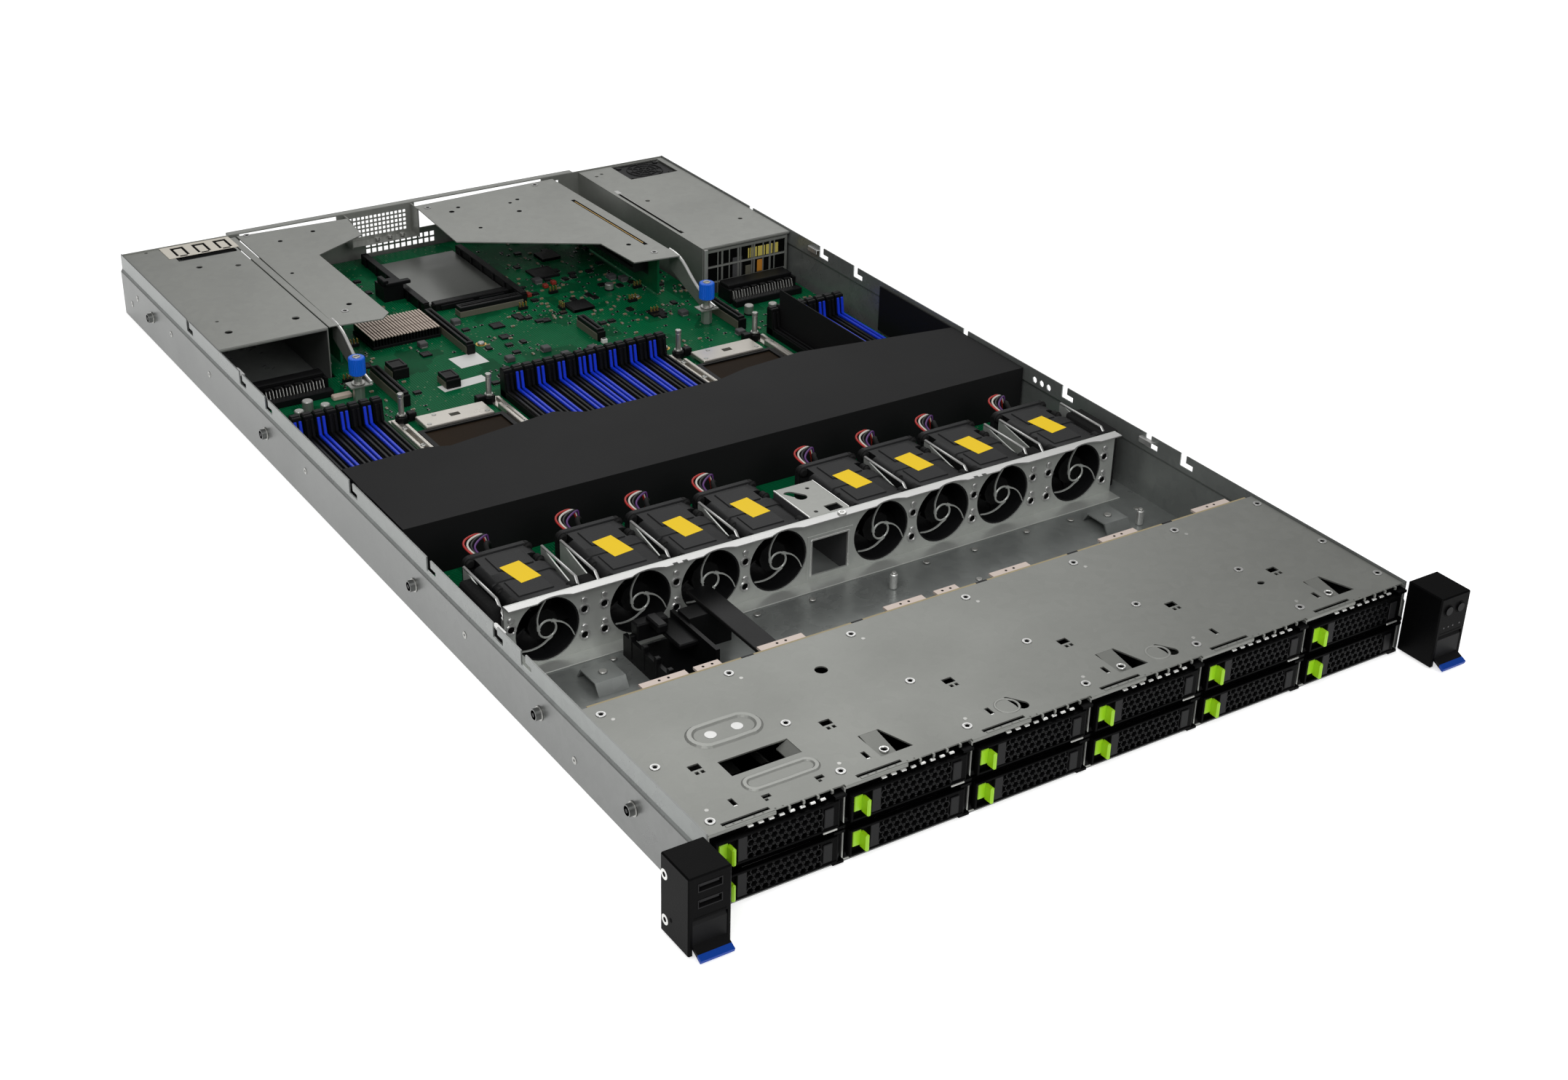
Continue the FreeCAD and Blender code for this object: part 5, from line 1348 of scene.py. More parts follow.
# Small parts scattered over the board, between the larger ones
board = {"top": 8.0, "count": 520, "seed": 11, "shares": {"resistor": 12, "capacitor": 9, "chip": 6,
                                                          "choke": 2, "header": 1},
         "space": {"resistor": 2.3, "capacitor": 2.6, "chip": 4.2, "choke": 5.2, "header": 5.0},
         "area": (-208, 208, 506, 780),
         "taken": [(-209, -143, 505, 521), (-62, 62, 505, 521), (143, 209, 505, 521), (-142, -64, 405, 519),
                   (62, 139, 405, 519), (-106, -50, 620, 661), (-62, 29, 640, 778), (-216, -146, 566, 800),
                   (142, 216, 562, 800), (-53, -43, 583, 657), (-126, -114, 530, 585), (127, 140, 529, 583),
                   (33, 45, 560, 595), (-30, 24, 640, 656), (-150, -134, 546, 566), (109, 126, 544, 562),
                   (-66, -41, 566, 589), (-92, -54, 539, 553), (44, 64, 612, 632), (69, 88, 709, 728),
                   (-112, -98, 573, 588), (-88, -75, 543, 558), (-134, -127, 610, 738), (-100, -62, 523, 605),
                   (0, 30, 560, 610)], "whiteParts": ((39.0, 558.6), (198.0, 532.0), (190.0, 534.0)),
         "chips": ((53.0, 622.0, 16.0, 1.9), (78.0, 718.0, 14.0, 1.7), (60.0, 690.0, 19.0, 1.9),
                   (96.0, 585.0, 11.0, 1.6), (-12.0, 620.0, 9.0, 1.4), (8.0, 628.0, 7.0, 1.3),
                   (-16.0, 600.0, 7.0, 1.3), (22.0, 612.0, 6.0, 1.2), (-118.0, 602.0, 8.0, 1.4),
                   (-75.0, 600.0, 7.0, 1.2)), "cans": ((-177.0, 556.0, 3.6, 8.0), (-168.0, 549.0, 3.2, 6.5),
                                                       (152.0, 552.0, 3.4, 7.0), (88.0, 640.0, 3.2, 5.0),
                                                       (-186.0, 548.0, 3.2, 6.5), (170.0, 549.0, 3.2, 6.0)),
         "redParts": ((48.0, 664.0), (56.0, 667.0), (30.0, 655.0)),
         "screws": ((-35.0, 598.0), (-38.0, 540.0), (70.0, 530.0), (98.0, 618.0), (-110.0, 769.0),
                    (70.0, 769.0), (30.0, 700.0), (-70.0, 690.0), (-190.0, 530.0), (190.0, 530.0)),
         "labels": [((-64.5, -43.5), (568.5, 587.0), 3), ((-90.0, -56.5), (541.0, 551.0), 5)]}


def smallParts():
    chipLegs = [(silverPart, about(-1.95 + 1.3 * k, 0.25), (-3.0, 3.0), (0, 0.35)) for k in range(4)]
    headerPins = [(goldContact, about(x, 0.3), about(y, 0.3), (2.2, 5.6), 0.1) for x in (-2.4, 0, 2.4)
                  for y in (-0.7, 0.7)]
    # each row: finish, x, y, z, rounding
    rows = {"resistor": [(chipInk, (-0.9, 0.9), (-0.7, 0.7), (0, 0.7), 0.1),
                         (silverPart, (-1.3, -0.8), (-0.7, 0.7), (0, 0.6), 0.1),
                         (silverPart, (0.8, 1.3), (-0.7, 0.7), (0, 0.6), 0.1)],
            "capacitor": [(tanPart, (-1.1, 1.1), (-0.8, 0.8), (0, 1.1), 0.15),
                          (silverPart, (-1.5, -0.9), (-0.8, 0.8), (0, 1.0), 0.1),
                          (silverPart, (0.9, 1.5), (-0.8, 0.8), (0, 1.0), 0.1)],
            "chip": [(chipInk, (-2.6, 2.6), (-2.0, 2.0), (0.2, 1.5), 0.2)] + chipLegs,
            "choke": [(chokeGrey, (-3.0, 3.0), (-3.0, 3.0), (0, 3.6), 0.5),
                      (silverPart, (-2.2, 2.2), (-3.3, 3.3), (0, 0.8), 0.1)],
            "header": [(chipInk, (-3.4, 3.4), (-1.4, 1.4), (0, 2.4), 0.2)] + headerPins,
            "white": [(labelWhite, (-2.0, 2.0), (-1.5, 1.5), (0, 3.0), 0.3),
                      (chipInk, (-1.4, 1.4), (-0.8, 0.8), (2.8, 3.1), 0.1)]}
    models = {}
    for kind, spans in rows.items():
        models[kind] = atZero(joined(kind, [block("span", *row) for row in spans]))
    return models


def isFree(x, y, margin=1.6):
    return not any(x0 - margin < x < x1 + margin and y0 - margin < y < y1 + margin for x0, x1, y0,
                   y1 in board["taken"])


def addSmallParts():
    models = smallParts()
    dice = random.Random(board["seed"])
    kinds = [kind for kind, share in board["shares"].items() for k in range(share)]
    x0, x1, y0, y1 = board["area"]
    placed = []
    rows = []
    while len(rows) < board["count"]:
        cx, cy = dice.uniform(x0, x1), dice.uniform(y0, y1)
        for k in range(dice.randint(1, 7)):
            x, y = cx + dice.gauss(0, 6), cy + dice.gauss(0, 6)
            kind = dice.choice(kinds)
            space = board["space"][kind]
            if not isFree(x, y) or not (x0 < x < x1 and y0 < y < y1) or (y > 592 and abs(x) > 138):
                continue
            if any(abs(x - px) < (space + other) / 1.7 and abs(y - py) < (space + other) / 1.7 for px, py,
                   other in placed):
                continue
            placed.append((x, y, space))
            turn = Matrix.Rotation(math.radians(90 * dice.randint(0, 1)), 4, "Z")
            rows.append(toFront(copied(models[kind], x, y, board["top"], turn=turn)))
    for x, y in board["whiteParts"]:
        rows.append(toFront(copied(models["white"], x, y, board["top"])))
    discard(*models.values())
    dress(joined("boardParts", rows), "chassis", "board_green")


def addBoardFeatures():
    low = board["top"]
    parts = []
    for x, y, wide, high in board["chips"]:
        chip = block("bigChip", chipInk, about(x, wide / 2), about(y, wide / 2), (low, low + high), 0.3)
        sinkFace(chip, topFace, 1.0, 0.15)
        parts.append(chip)
    dress(joined("boardChips", parts), "chassis", "black_plastic")
    labels = [block("label", labelWhite, xs, ys, (low + 0.02, low + 0.14), 0.03, turn)
              for xs, ys, turn in board["labels"]]
    dress(joined("boardLabels", labels), "chassis", "board_green")
    cans = []
    for x, y, radius, high in board["cans"]:
        cans.append(disc("canBase", chipInk, (x, y, low + 0.6), radius + 0.4, 1.2, 8, 0.2))
        cans.append(disc("can", silverPart, (x, y, low + high / 2), radius, high, 18, 0.5))
    dress(joined("boardCans", cans), "chassis", "nickel_plate")
    reds = [block("redPart", redPart, (x, x + 3.6), (y, y + 4.0), (low, low + 3.0), 0.5)
            for x, y in board["redParts"]]
    reds.append(block("pinkPart", pinkBar, (-157.0, -144.0), (562.0, 567.0), (low, low + 3.2), 0.6))
    dress(joined("boardAccents", reds), "chassis", "board_green")
    head = disc("boardScrew", silverPart, (0, 0, 0.8), 2.6, 1.5, 16, 0.5)
    pad = disc("screwPad", goldContact, (0, 0, 0.05), 3.8, 0.12, 20, 0.04)
    model = atZero(joined("boardScrewModel", [head, pad]))
    spots = [(x, y, low, 0) for x, y in board["screws"]]
    dress(planted("boardScrews", model, spots), "chassis", "nickel_plate")


addSmallParts()
addBoardFeatures()
print("board parts done")


# Risers: rivets and holes on the plates, a slit, bright bent leg edges and knurled captive screws
riser = {"screws": riserScrews, "legs": {"left": -134.5, "right": 122.6},
         "top": 42.3, "foot": 19.0, "legStart": 600.5, "capLow": 27.0, "capTop": 38.0, "cap": 5.4,
         "teeth": 28, "cardChip": {"left": ((-129.3, -128.6), (640, 655), (24, 34)),
                                   "right": ((111.2, 112.0), (640, 655), (30, 38))},
         "rivets": {"left": [(-128.0, 783.0), (-122.0, 620.5)],
                    "right": [(109.5, 612.0), (100.0, 778.0), (8.0, 772.0)]},
         "holes": {"left": [(-84.0, 768.0, 1.7), (-111.5, 761.0, 1.7), (-115.0, 630.0, 1.9),
                            (-127.0, 700.0, 1.3)],
                   "right": [(20.0, 756.0, 2.0), (28.0, 762.0, 1.6), (24.0, 716.0, 1.5), (64.0, 733.0, 1.9),
                             (74.0, 756.0, 1.6), (66.0, 752.0, 1.4), (101.0, 634.0, 1.8)]}}


def makeRiserScrew(side):
    x, y = riser["screws"][side]
    low, top = riser["capLow"], riser["capTop"]
    cap = rod("cap", capBlue, (x, y, (low + top) / 2), riser["cap"], top - low, sides=2 * riser["teeth"])
    middle = at(x, y, 0)
    step = math.pi / riser["teeth"]
    editPoints(cap, lambda point: round((math.atan2(point.y - middle.y,
                                                    point.x - middle.x) + math.pi) / step) % 2 == 0)
    bpy.ops.transform.resize(value=(0.93, 0.93, 1), center_override=at(x, y, (low + top) / 2))
    leaveEdit()
    editWith(cap, lambda face: abs(face.normal.z) > 0.9)
    bpy.ops.mesh.inset(thickness=0.5 * mm, depth=0.5 * mm)
    leaveEdit()
    parts = [cap, disc("capDisc", silverPart, (x, y, top + 0.5), 2.7, 1.0, 20, 0.3),
             # The slot is a black strip: painted shade.
             block("capSlot", chipInk, about(x, 2.0), about(y, 0.4), (top + 0.9, top + 1.06)),
             disc("neck", silverPart, (x, y, (low + riser["foot"]) / 2 + 0.6), 2.6, low - riser["foot"] - 1.0,
                  18, 0.3),
             disc("washer", silverPart, (x, y, riser["foot"] + 1.5), 4.4, 0.8, 24, 0.2),
             disc("spring", silverPart, (x, y, low - 1.4), 3.7, 1.2, 20, 0.4),
             disc("shank", silverPart, (x, y, 15.4), 1.8, 9.0, 14, 0.3)]
    dress(joined("riserScrew_" + side, parts), "thumbscrew_" + side, "screw_blue", "thumbscrew_" + side)


def addRiserDetail():
    rivet = makeRivet()
    for side in ("left", "right"):
        makeRiserScrew(side)
        y = riser["screws"][side][1]
        legX, top, foot, start = riser["legs"][side], riser["top"], riser["foot"], riser["legStart"]
        outline = [(start + 12, top - 0.5), (start + 2, top - 0.5), (start - 8, top - 4),
                   (start - 18, top - 11),
                   ((start + y) / 2 - 4, foot + 7), (y + 8, foot + 2.2), (y - 4, foot + 1.2)]
        parts = [asMesh(makeRoute("edge", [at(legX, py, pz) for py, pz in outline], brightSteel, 1.3))]
        spots = riser["rivets"][side]
        for px, py in spots:
            parts.append(toFront(copied(rivet, px, py, top)))
        # The holes are black discs on the plate: painted shade.
        holes = riser["holes"][side]
        for px, py, radius in holes:
            parts.append(disc("hole", deepBlack, (px, py, top + 0.03), radius, 0.1, 18, 0.02))
        if side == "left":
            parts.append(block("plateEdge", zincSheet, (-141.4, -136.2), (601.0, 784.0), (top - 0.8, top),
                               0.2))
        if side == "right":
            # The slit is a black strip: painted shade, with the card's gold edge along it.
            slit = block("slit", deepBlack, (110.6, 113.6), (628.0, 735.0), (top - 0.1, top + 0.06), 0.02)
            pushPoints(slit, past("Y", 700), x=-2.4)
            parts.append(slit)
            slitEdge = block("slitEdge", goldContact, (111.4, 112.0), (632.0, 731.0),
                             (top + 0.05, top + 0.09))
            pushPoints(slitEdge, past("Y", 700), x=-2.3)
            parts.append(slitEdge)
        parts.append(block("cardChip", chipInk, *riser["cardChip"][side], 0.1))
        dress(joined("riserDetail_" + side, parts), "riser_" + side, "zinc_sheet")
    discard(rivet)


addRiserDetail()
print("risers done")


# Power supplies: the bays' sheets, bars over coloured patches at the supply's inner end, its fan
# guards, bay trim and the pale cap of the blank
bays = {"inner": 142.5, "outer": 216.8, "front": 600.0, "rear": 787.2,
        "cuts": {-1: [((-186.5, -144.5), (758.0, 788.0))],
                 1: [((145.0, 148.0), (635.0, 729.0)), ((170.5, 212.0), (753.0, 785.7))]},
        "holes": {-1: [(-154.6, 625.2, 2.6), (-200.6, 624.7, 2.6), (-178.0, 741.4, 2.2), (-153.6, 732.0, 2.0),
                       (-201.0, 644.9, 1.2),
                       (-190.3, 784.6, 1.2), (-201.0, 784.4, 1.2)],
                  1: [(158.0, 706.0, 1.8), (199.0, 640.0, 1.8), (150.5, 772.0, 1.4), (156.5, 775.0, 1.4)]},
        "trim": [(brightSteel, (147.0, 147.6), (640.0, 729.0), (42.2, 42.55), 0.1),
                 (brightSteel, (145.6, 149.0), (729.5, 736.0), (42.2, 42.5), 0.1),
                 (zincSheet, (143.0, 216.4), (599.6, 600.8), (40.6, 42.3), 0.3),
                 (zincSheet, (-216.4, -143.0), (599.6, 600.8), (40.6, 42.3), 0.3),
                 (brightSteel, (143.6, 146.4), (598.6, 600.2), (1.0, 41.5), 0.3)]}
supply = {"front": 602.0, "rear": 788.4, "fan": (192.0, 770.0, 41.0), "rearFan": (193.0, 20.5),
          "inside": ((182.0, 208.0, 27.4, 35.0, coilYellow), (190.0, 195.5, 15.5, 24.5, coilOrange),
                     (169.0, 177.0, 5.0, 30.0, chokeGrey), (180.0, 186.0, 14.0, 22.0, shellTan),
                     (203.0, 209.0, 4.0, 11.0, bayGrey), (150.0, 160.0, 4.0, 14.0, chokeGrey)),
          "gaps": (183.0, 189.5, 196.5, 203.0),
          "crossBars": ((2.2, 1.0), (13.6, 0.9), (25.6, 0.9), (37.4, 1.3)), "guardRings": (5.0, 9.5, 14.0),
          "rearRings": (5.0, 9.0, 13.0), "corners": ((175.5, 757.0), (208.0, 757.0), (175.5, 782.0),
                                                     (208.0, 782.0)),
          "pins": ((155.5, 13.0), (163.5, 13.0), (159.5, 9.0)), "bars": 8, "barStart": 146.0, "barStep": 9.64}


def addBays():
    sheets = []
    for side in (-1, 1):
        x0, x1 = sorted((side * bays["inner"], side * bays["outer"]))
        wallX = sorted((side * bays["inner"], side * (bays["inner"] + 0.8)))
        top = block("bayTop", bayZinc, (x0, x1), (bays["front"], bays["rear"]), (41.5, 42.3))
        tools = [block("cut", bayZinc, xs, ys, (38, 45)) for xs, ys in bays["cuts"][side]]
        tools += [rod("cut", bayZinc, (x, y, 42), radius, 8) for x, y, radius in bays["holes"][side]]
        carveAll(top, tools)
        sheets += [top, block("bayWall", bayZinc, wallX, (bays["front"], bays["rear"]), (0.8, 41.6))]
    dress(joined("bayShells", sheets), "chassis", "zinc_sheet", "psu_bays")


def addSupply():
    front = supply["front"]
    inside = []
    for x0, x1, z0, z1, finish in supply["inside"]:
        inside.append(block("innerPart", finish, (x0, x1), (front - 0.5, front - 0.1), (z0, z1), 0.15))
    # The black gaps between the patches and the black sheet behind them are painted shade inside the supply.
    for x in supply["gaps"]:
        inside.append(block("innerGap", chipInk, (x, x + 0.8), (front - 0.6, front - 0.3), (27.0, 35.4)))
    inside.append(block("innerDark", deepBlack, (146.2, 214.2), (front - 0.3, front + 0.02), (2.5, 38.4)))
    for k in range(supply["bars"]):
        x = supply["barStart"] + k * supply["barStep"]
        inside.append(block("grilleBar", zincSheet, (x, x + 0.95), (front - 1.1, front - 0.6), (2.3, 38.5),
                            0.15))
    for z, wide in supply["crossBars"]:
        inside.append(block("grilleBar", zincSheet, (145.9, 214.5), (front - 1.15, front - 0.55),
                            (z, z + wide), 0.15))
    dress(joined("supplyInside", inside), "psu_module", "zinc_sheet")
    guard = [block("guardPlate", chipInk, (172.0, 211.0), (753.4, 786.0), (39.8, 40.9), 0.3)]
    for radius in supply["guardRings"]:
        guard.append(ring("guardRing", blackPlastic, supply["fan"], radius, 0.6, around=28))
    for k in range(4):
        spoke = rod("guardSpoke", blackPlastic, supply["fan"], 0.6, 28.0, "X", 8)
        guard.append(turned(spoke, supply["fan"], 45 * k, "Z"))
    for x, y in supply["corners"]:
        guard.append(disc("guardCorner", blackPlastic, (x, y, 41.2), 2.2, 0.9, 14, 0.2))
    dress(joined("supplyFanGuard", guard), "psu_module", "button_black")
    rearSide = []
    y = supply["rear"]
    fanX, fanZ = supply["rearFan"]
    for radius in supply["rearRings"]:
        rearSide.append(ring("rearRing", silverPart, (fanX, y + 0.2, fanZ), radius, 0.55, "Y", around=28))
    rearSide.append(rod("rearDark", deepBlack, (fanX, y + 0.06, fanZ), 15.0, 0.12, "Y", 32, 0.03))
    rearSide += [block("inletPin", silverPart, about(x, 0.8), (y - 11.0, y - 3.0), about(z, 1.6), 0.3)
                 for x, z in supply["pins"]]
    rearSide.append(block("releaseTab", latchLime, (148.0, 154.0), (y, y + 4.6), (28.0, 33.0), 0.6))
    dress(joined("supplyRear", rearSide), "psu_module", "zinc_sheet")
    trim = [block("bayEdge", *row) for row in bays["trim"]]
    dress(joined("bayTrim", trim), "chassis", "zinc_sheet")


blank = {"windows": (-180.0, -164.5, -149.0)}


def addBlank():
    pale = [block("blankCap", blankPale, (-191.0, -140.5), (765.0, 787.0), (42.3, 42.75), 0.15)]
    tools = []
    for x in blank["windows"]:
        tools.append(block("cut", blankPale, about(x, 4.8), (767.5, 784.0), (38.0, 45.0)))
    carveAll(pale[0], tools)
    for x in blank["windows"]:
        pale.append(block("blankTongue", blankPale, about(x, 2.9), (765.4, 780.5), (42.3, 42.75), 0.15))
    # The black sheet under the cap's windows and the black slit in front of the cap are painted shade inside
    # the blank.
    pale.append(block("blankFloor", deepBlack, (-190.0, -141.5), (766.0, 786.4), (42.3, 42.36)))
    pale.append(block("blankSlit", deepBlack, (-183.0, -144.0), (759.5, 763.6), (42.3, 42.36)))
    dress(joined("blankCap", pale), "chassis", "zinc_sheet")


addBays()
addSupply()
addBlank()
print("supplies done")


# Rear panel: perforated fields, card and supply windows, a folded top edge
rear = {"front": 787.2, "rear": 788.0, "low": 0.8, "top": 43.2, "side": 217.0,
        "windows": [(-215.0, -144.5, 1.8, 41.0), (144.5, 215.8, 0.8, 40.1), (-132.0, -58.0, 22.0, 42.5),
                    (4.0, 110.0, 22.0, 42.5)],
        "fields": [(-49.0, 0.2, 22.6, 42.4, 3.3, 2.25), (-37.0, 19.5, 8.8, 19.4, 4.7, 3.5),
                   (112.0, 126.0, 33.0, 41.0, 3.4, 2.3)],
        "screws": ((-30.0, 22.6), (-20.0, 22.6), (-10.0, 22.6)),
        "folds": [(zincSheet, (-140.0, 138.0), (787.4, 793.2), (42.6, 43.4), 0.3),
                  (guardWire, (-140.0, 138.0), (792.2, 793.2), (41.4, 43.4), 0.3),
                  (zincSheet, (-52.5, -51.5), (774.0, 787.4), (20.0, 42.4), 0.2),
                  (zincSheet, (0.6, 1.6), (774.0, 787.4), (20.0, 42.4), 0.2),
                  (zincSheet, (-52.0, 1.0), (776.0, 787.4), (20.2, 21.0), 0.2)]}


def addRearPanel():
    y0, y1 = rear["front"], rear["rear"]
    panel = block("panel", zincSheet, (-rear["side"], rear["side"]), (y0, y1), (rear["low"], rear["top"]))
    tools = [cutBox((x0, x1), (y0 - 2, y1 + 2), (z0, z1)) for x0, x1, z0, z1 in rear["windows"]]
    for x0, x1, z0, z1, pitch, hole in rear["fields"]:
        for i in range(int((x1 - x0) / pitch)):
            for k in range(int((z1 - z0) / pitch)):
                x, z = x0 + (i + 0.5) * pitch, z0 + (k + 0.5) * pitch
                tools.append(cutBox(about(x, hole / 2), (y0 - 2, y1 + 2), about(z, hole / 2)))
    carveAll(panel, tools)
    parts = [panel] + [block("fold", *row) for row in rear["folds"]]
    for x, z in rear["screws"]:
        parts.append(disc("panelScrew", silverPart, (x, 780.0, z), 1.9, 2.4, 14, 0.4))
    dress(joined("rearPanelDetail", parts), "chassis", "zinc_sheet", "rear_panel")


addRearPanel()
print("rear panel done")


# Rack ears: softened blocks with two ports on the left, two buttons and small lights on the right
ear = {"inner": 219.2, "outer": 240.95, "front": -24.0, "low": 1.2, "high": 43.45,
       "recess": (221.2, 238.9, -16.8, 20.4),
       "ports": [28.6, 37.2], "portHalf": (6.3, 2.3), "buttons": [225.4, 234.2], "buttonZ": 35.3,
       "holeX": 232.55, "holeZ": 5.6, "screws": ((-1.9, 33.2), (-2.5, 9.0)),
       "lights": (224.2, 227.6, 231.0, 236.0), "middle": 230.1, "holeRadius": 3.2, "buttonHole": 2.62,
       "lightZ": 24.8, "groove": (21.4, 21.9), "sideY": -9.0}


def makeEar(side):
    # side is -1 for the left ear
    def span(a, b):
        return sorted((side * a, side * b))
    front = ear["front"]
    body = block("earBody", earBlack, span(ear["inner"], ear["outer"]), (front, 0), (ear["low"], ear["high"]),
                 0.7)
    x0, x1, y1, z1 = ear["recess"]
    tools = [block("cut", earBlack, span(x0, x1), (front - 2, y1), (-1, z1)),
             rod("cut", earBlack, (side * ear["holeX"], ear["sideY"], ear["holeZ"]), ear["holeRadius"], 22.0,
                 "Y", 24)]
    parts = []
    middle = side * ear["middle"]
    half, tall = ear["portHalf"]
    if side < 0:
        for z in ear["ports"]:
            tools.append(block("cut", earBlack, about(middle, half), (front - 1, front + 12), about(z, tall)))
            frameHere = block("portFrame", gridBlack, (middle - half + 0.05, middle + half - 0.05),
                              (front - 0.15, front + 10),
                              (z - tall + 0.05, z + tall - 0.05))
            carve(frameHere, block("cut", silverPart, (middle - half + 0.5, middle + half - 0.5),
                                   (front - 2, front + 20),
                                   (z - tall + 0.5, z + tall - 0.5)))
            tongue = block("portTongue", chipInk, (middle - half + 1.2, middle + half - 1.2),
                           (front + 0.8, front + 11), (z - 0.2, z + 1.5), 0.2)
            parts += [frameHere, tongue, block("portBack", deepBlack, about(middle, half),
                                               (front + 10.4, front + 11.6),
                                               about(z, tall))]
            parts += [block("portContact", goldContact, (middle - 3.8 + 2.2 * k, middle - 2.9 + 2.2 * k),
                            (front + 1.2, front + 6),
                            (z - 0.36, z - 0.18)) for k in range(4)]
        for y, z in ear["screws"]:
            parts.append(rod("earScrew", brightSteel, (-ear["outer"] + 0.28, y - 1.4, z), 2.9, 0.6, "X", 18,
                             0.2))
            # The screw's recess is a black disc: painted shade.
            parts.append(rod("screwCore", deepBlack, (-ear["outer"] + 0.02, y - 1.4, z), 1.3, 0.12, "X", 12,
                             0.03))
    else:
        for x in ear["buttons"]:
            tools.append(rod("cut", earBlack, (x, front, ear["buttonZ"]), ear["buttonHole"], 12.0, "Y", 28))
            parts.append(ring("buttonRim", earBlack, (x, front - 0.05, ear["buttonZ"]), 3.1, 0.28, "Y", 28,
                              6))
        for x in ear["lights"]:
            parts.append(rod("earLight", chokeGrey, (x, front - 0.02, ear["lightZ"]), 0.5, 0.2, "Y", 10,
                             0.04))
    carveAll(body, tools)
    groove = block("earGroove", deepBlack, span(x0 + 0.6, x1 - 0.6), (front - 0.02, front + 0.3),
                   ear["groove"])
    # The dimple on the side is a black disc: painted shade.
    sideMark = rod("earDimple", deepBlack, (side * (ear["outer"] - 0.02), ear["sideY"], 12.0), 1.2, 0.14, "X",
                   14, 0.03)
    name = "earDetail_" + ("left" if side < 0 else "right")
    dress(joined(name, [body, groove, sideMark] + parts), "chassis", "ear_black",
          "ear_left" if side < 0 else "ear_right")


makeEar(-1)
makeEar(1)
print("ears done")


# Casing walls: stud heads with washers, dimples and holes; floor: rivets, slots and the tall posts
case = {"studs": [62.6, 155.8, 302.5, 518.0, 726.0], "studZ": 19.0, "half": 219.0,
        "dimples": [(756.0, 22.0), (770.0, 13.0), (688.0, 21.0), (616.0, 20.0), (455.0, 21.0), (240.0, 20.0),
                    (120.0, 12.0), (30.0, 14.0)],
        "tabs": [566.3, 205.3],
        "floorRivets": [(-150.0, 206.0), (-60.0, 206.0), (-25.0, 204.0), (55.0, 206.0), (88.0, 204.0),
                        (128.0, 206.0),
                        (160.0, 204.0), (70.0, 176.0), (-40.0, 168.0), (120.0, 160.0), (30.0, 140.0),
                        (90.0, 140.0), (205.0, 196.0)],
        "floorSlots": [(-20.0, 150.0, 14.0), (60.0, 150.0, 10.0), (140.0, 172.0, 12.0), (10.0, 176.0, 8.0)],
        "posts": ((22.0, 192.7), (193.0, 180.3)), "bridgeScrews": (-165.0, 176.0)}


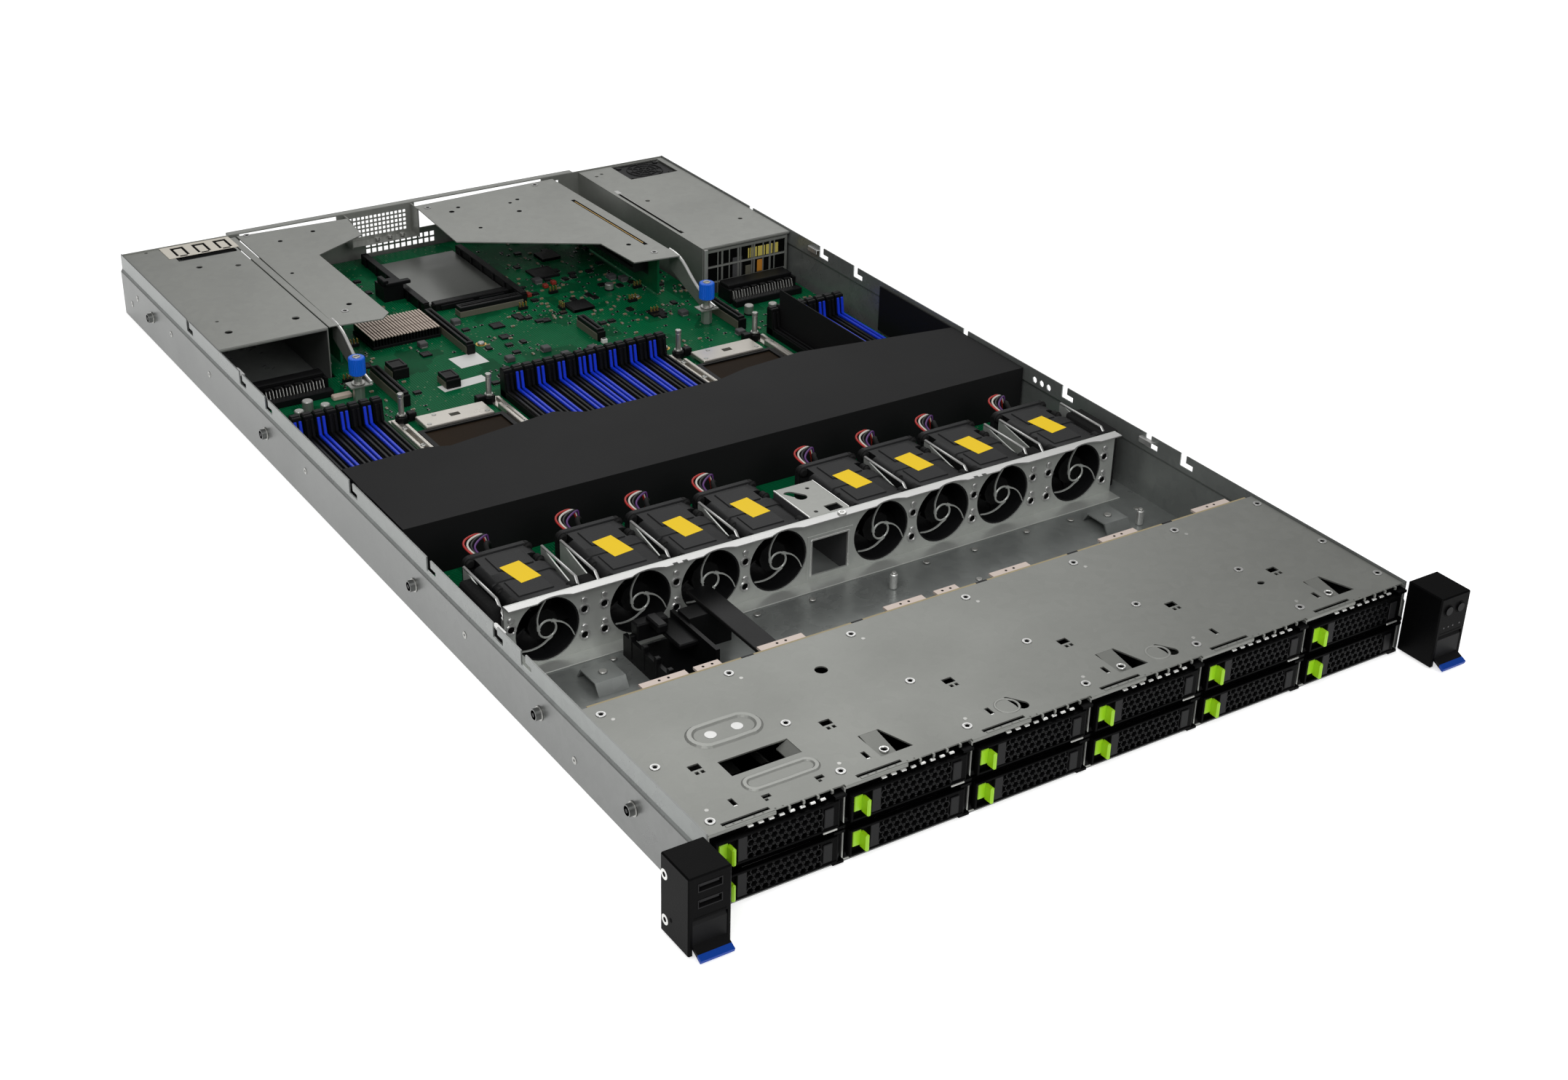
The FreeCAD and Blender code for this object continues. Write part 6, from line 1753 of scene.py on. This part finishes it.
def addCaseDetail():
    parts = []
    for side in (-1, 1):
        face = side * case["half"]
        for y in case["studs"]:
            parts.append(rod("studWasher", silverPart, (face + side * 0.35, y, case["studZ"]), 4.0, 0.7, "X",
                             24, 0.2))
            parts.append(rod("studHead", brightSteel, (face + side * 2.0, y, case["studZ"]), 3.1, 3.2, "X",
                             20, 0.5))
            # The stud's centre is a black disc: painted shade.
            parts.append(rod("studCore", chipInk, (face + side * 3.5, y, case["studZ"]), 1.2, 0.35, "X", 12,
                             0.1))
        for y, z in case["dimples"]:
            parts.append(rod("dimple", silverPart, (face + side * 0.12, y, z), 2.1, 0.3, "X", 18, 0.1))
            # The dimple's centre is a black disc: painted shade.
            parts.append(rod("dimpleCore", chipInk, (face + side * 0.26, y, z), 0.7, 0.1, "X", 10, 0.02))
    for y in case["tabs"]:
        for side in (-1, 1):
            parts.append(block("wallTab", guardWire, sorted((side * 214.4, side * 217.1)), about(y, 6),
                               (40.4, 41.1), 0.2))
            parts.append(block("wallTabEdge", guardWire, sorted((side * 214.0, side * 214.7)), about(y, 5.5),
                               (37.6, 41.0), 0.2))
    dress(joined("caseStuds", parts), "chassis", "zinc_sheet")
    floor = []
    for x, y in case["floorRivets"]:
        floor.append(disc("floorRivet", silverPart, (x, y, 1.9 if y > 200 else 1.1), 2.0, 0.8, 16, 0.3))
    # The floor's slots and holes are black sheets: painted shade.
    for x, y, long in case["floorSlots"]:
        floor.append(block("floorSlot", deepBlack, about(x, long / 2), about(y, 1.1), (0.8, 0.9), 0.02))
        floor.append(disc("floorHole", deepBlack, (x + long, y, 0.86), 1.5, 0.12, 14, 0.02))
    for x, y in case["posts"]:
        floor.append(disc("floorPost", brightSteel, (x, y, 5.6), 2.2, 9.4, 16, 0.5))
        floor.append(disc("floorPostCap", silverPart, (x, y, 10.8), 1.6, 1.2, 14, 0.4))
    for x in case["bridgeScrews"]:
        floor.append(disc("bridgeScrew", silverPart, (x, 190.0, 7.4), 2.4, 0.9, 16, 0.3))
    dress(joined("floorDetail", floor), "chassis", "zinc_sheet")


addCaseDetail()
print("case done")


# Backplane: dots on the light bars, small parts along its top edge; cable holder ribs and clip
backplane = {"bars": [(-181.8, -155.8), (-151.0, -136.8), (-113.9, -87.3), (-36.7, -12.1), (-4.5, 9.6),
                      (32.3, 57.3),
                      (107.6, 133.0), (175.9, 201.7)], "y": 120.7, "top": 41.7,
             "edgeParts": (-126.0, -60.0, 20.0, 82.0, 150.0), "ribs": [146.0, 159.0, 172.0, 185.0, 198.0],
             "holder": [(blackPlastic, (-141.0, -122.0), (196.0, 203.0), (14.0, 24.5), 0.8),
                        (blackPlastic, (-134.0, -128.0), (186.0, 200.0), (22.0, 27.0), 0.8),
                        (blackPlastic, (-126.0, -114.0), (178.0, 206.0), (14.0, 17.0), 0.6),
                        (rubberBlack, (-99.8, -99.0), (121.0, 214.0), (22.0, 24.0), 0.2)]}


def addBackplaneDetail():
    parts = []
    for x0, x1 in backplane["bars"]:
        middle = (x0 + x1) / 2
        for x in about(middle, 2.6):
            parts.append(disc("barDot", deepBlack, (x, backplane["y"], backplane["top"] + 0.02), 0.75, 0.1,
                              12, 0.02))
        parts.append(block("barUnder", chipInk, (x0 + 1, x1 - 1), (118.6, 122.6), (34.0, 40.3), 0.4))
    for x in backplane["edgeParts"]:
        parts.append(block("edgePart", chipInk, (x, x + 7.0), (117.2, 118.4), (41.4, 42.0), 0.1))
    dress(joined("backplaneDetail", parts), "chassis", "board_tan")
    holder = []
    for y in backplane["ribs"]:
        holder.append(block("holderRib", blackPlastic, (-143.4, -140.2), (y, y + 3.0), (3.0, 17.5), 0.4))
    holder += [block("holderPart", *row) for row in backplane["holder"]]
    dress(joined("holderDetail", holder), "chassis", "black_plastic")


addBackplaneDetail()
print("backplane done")
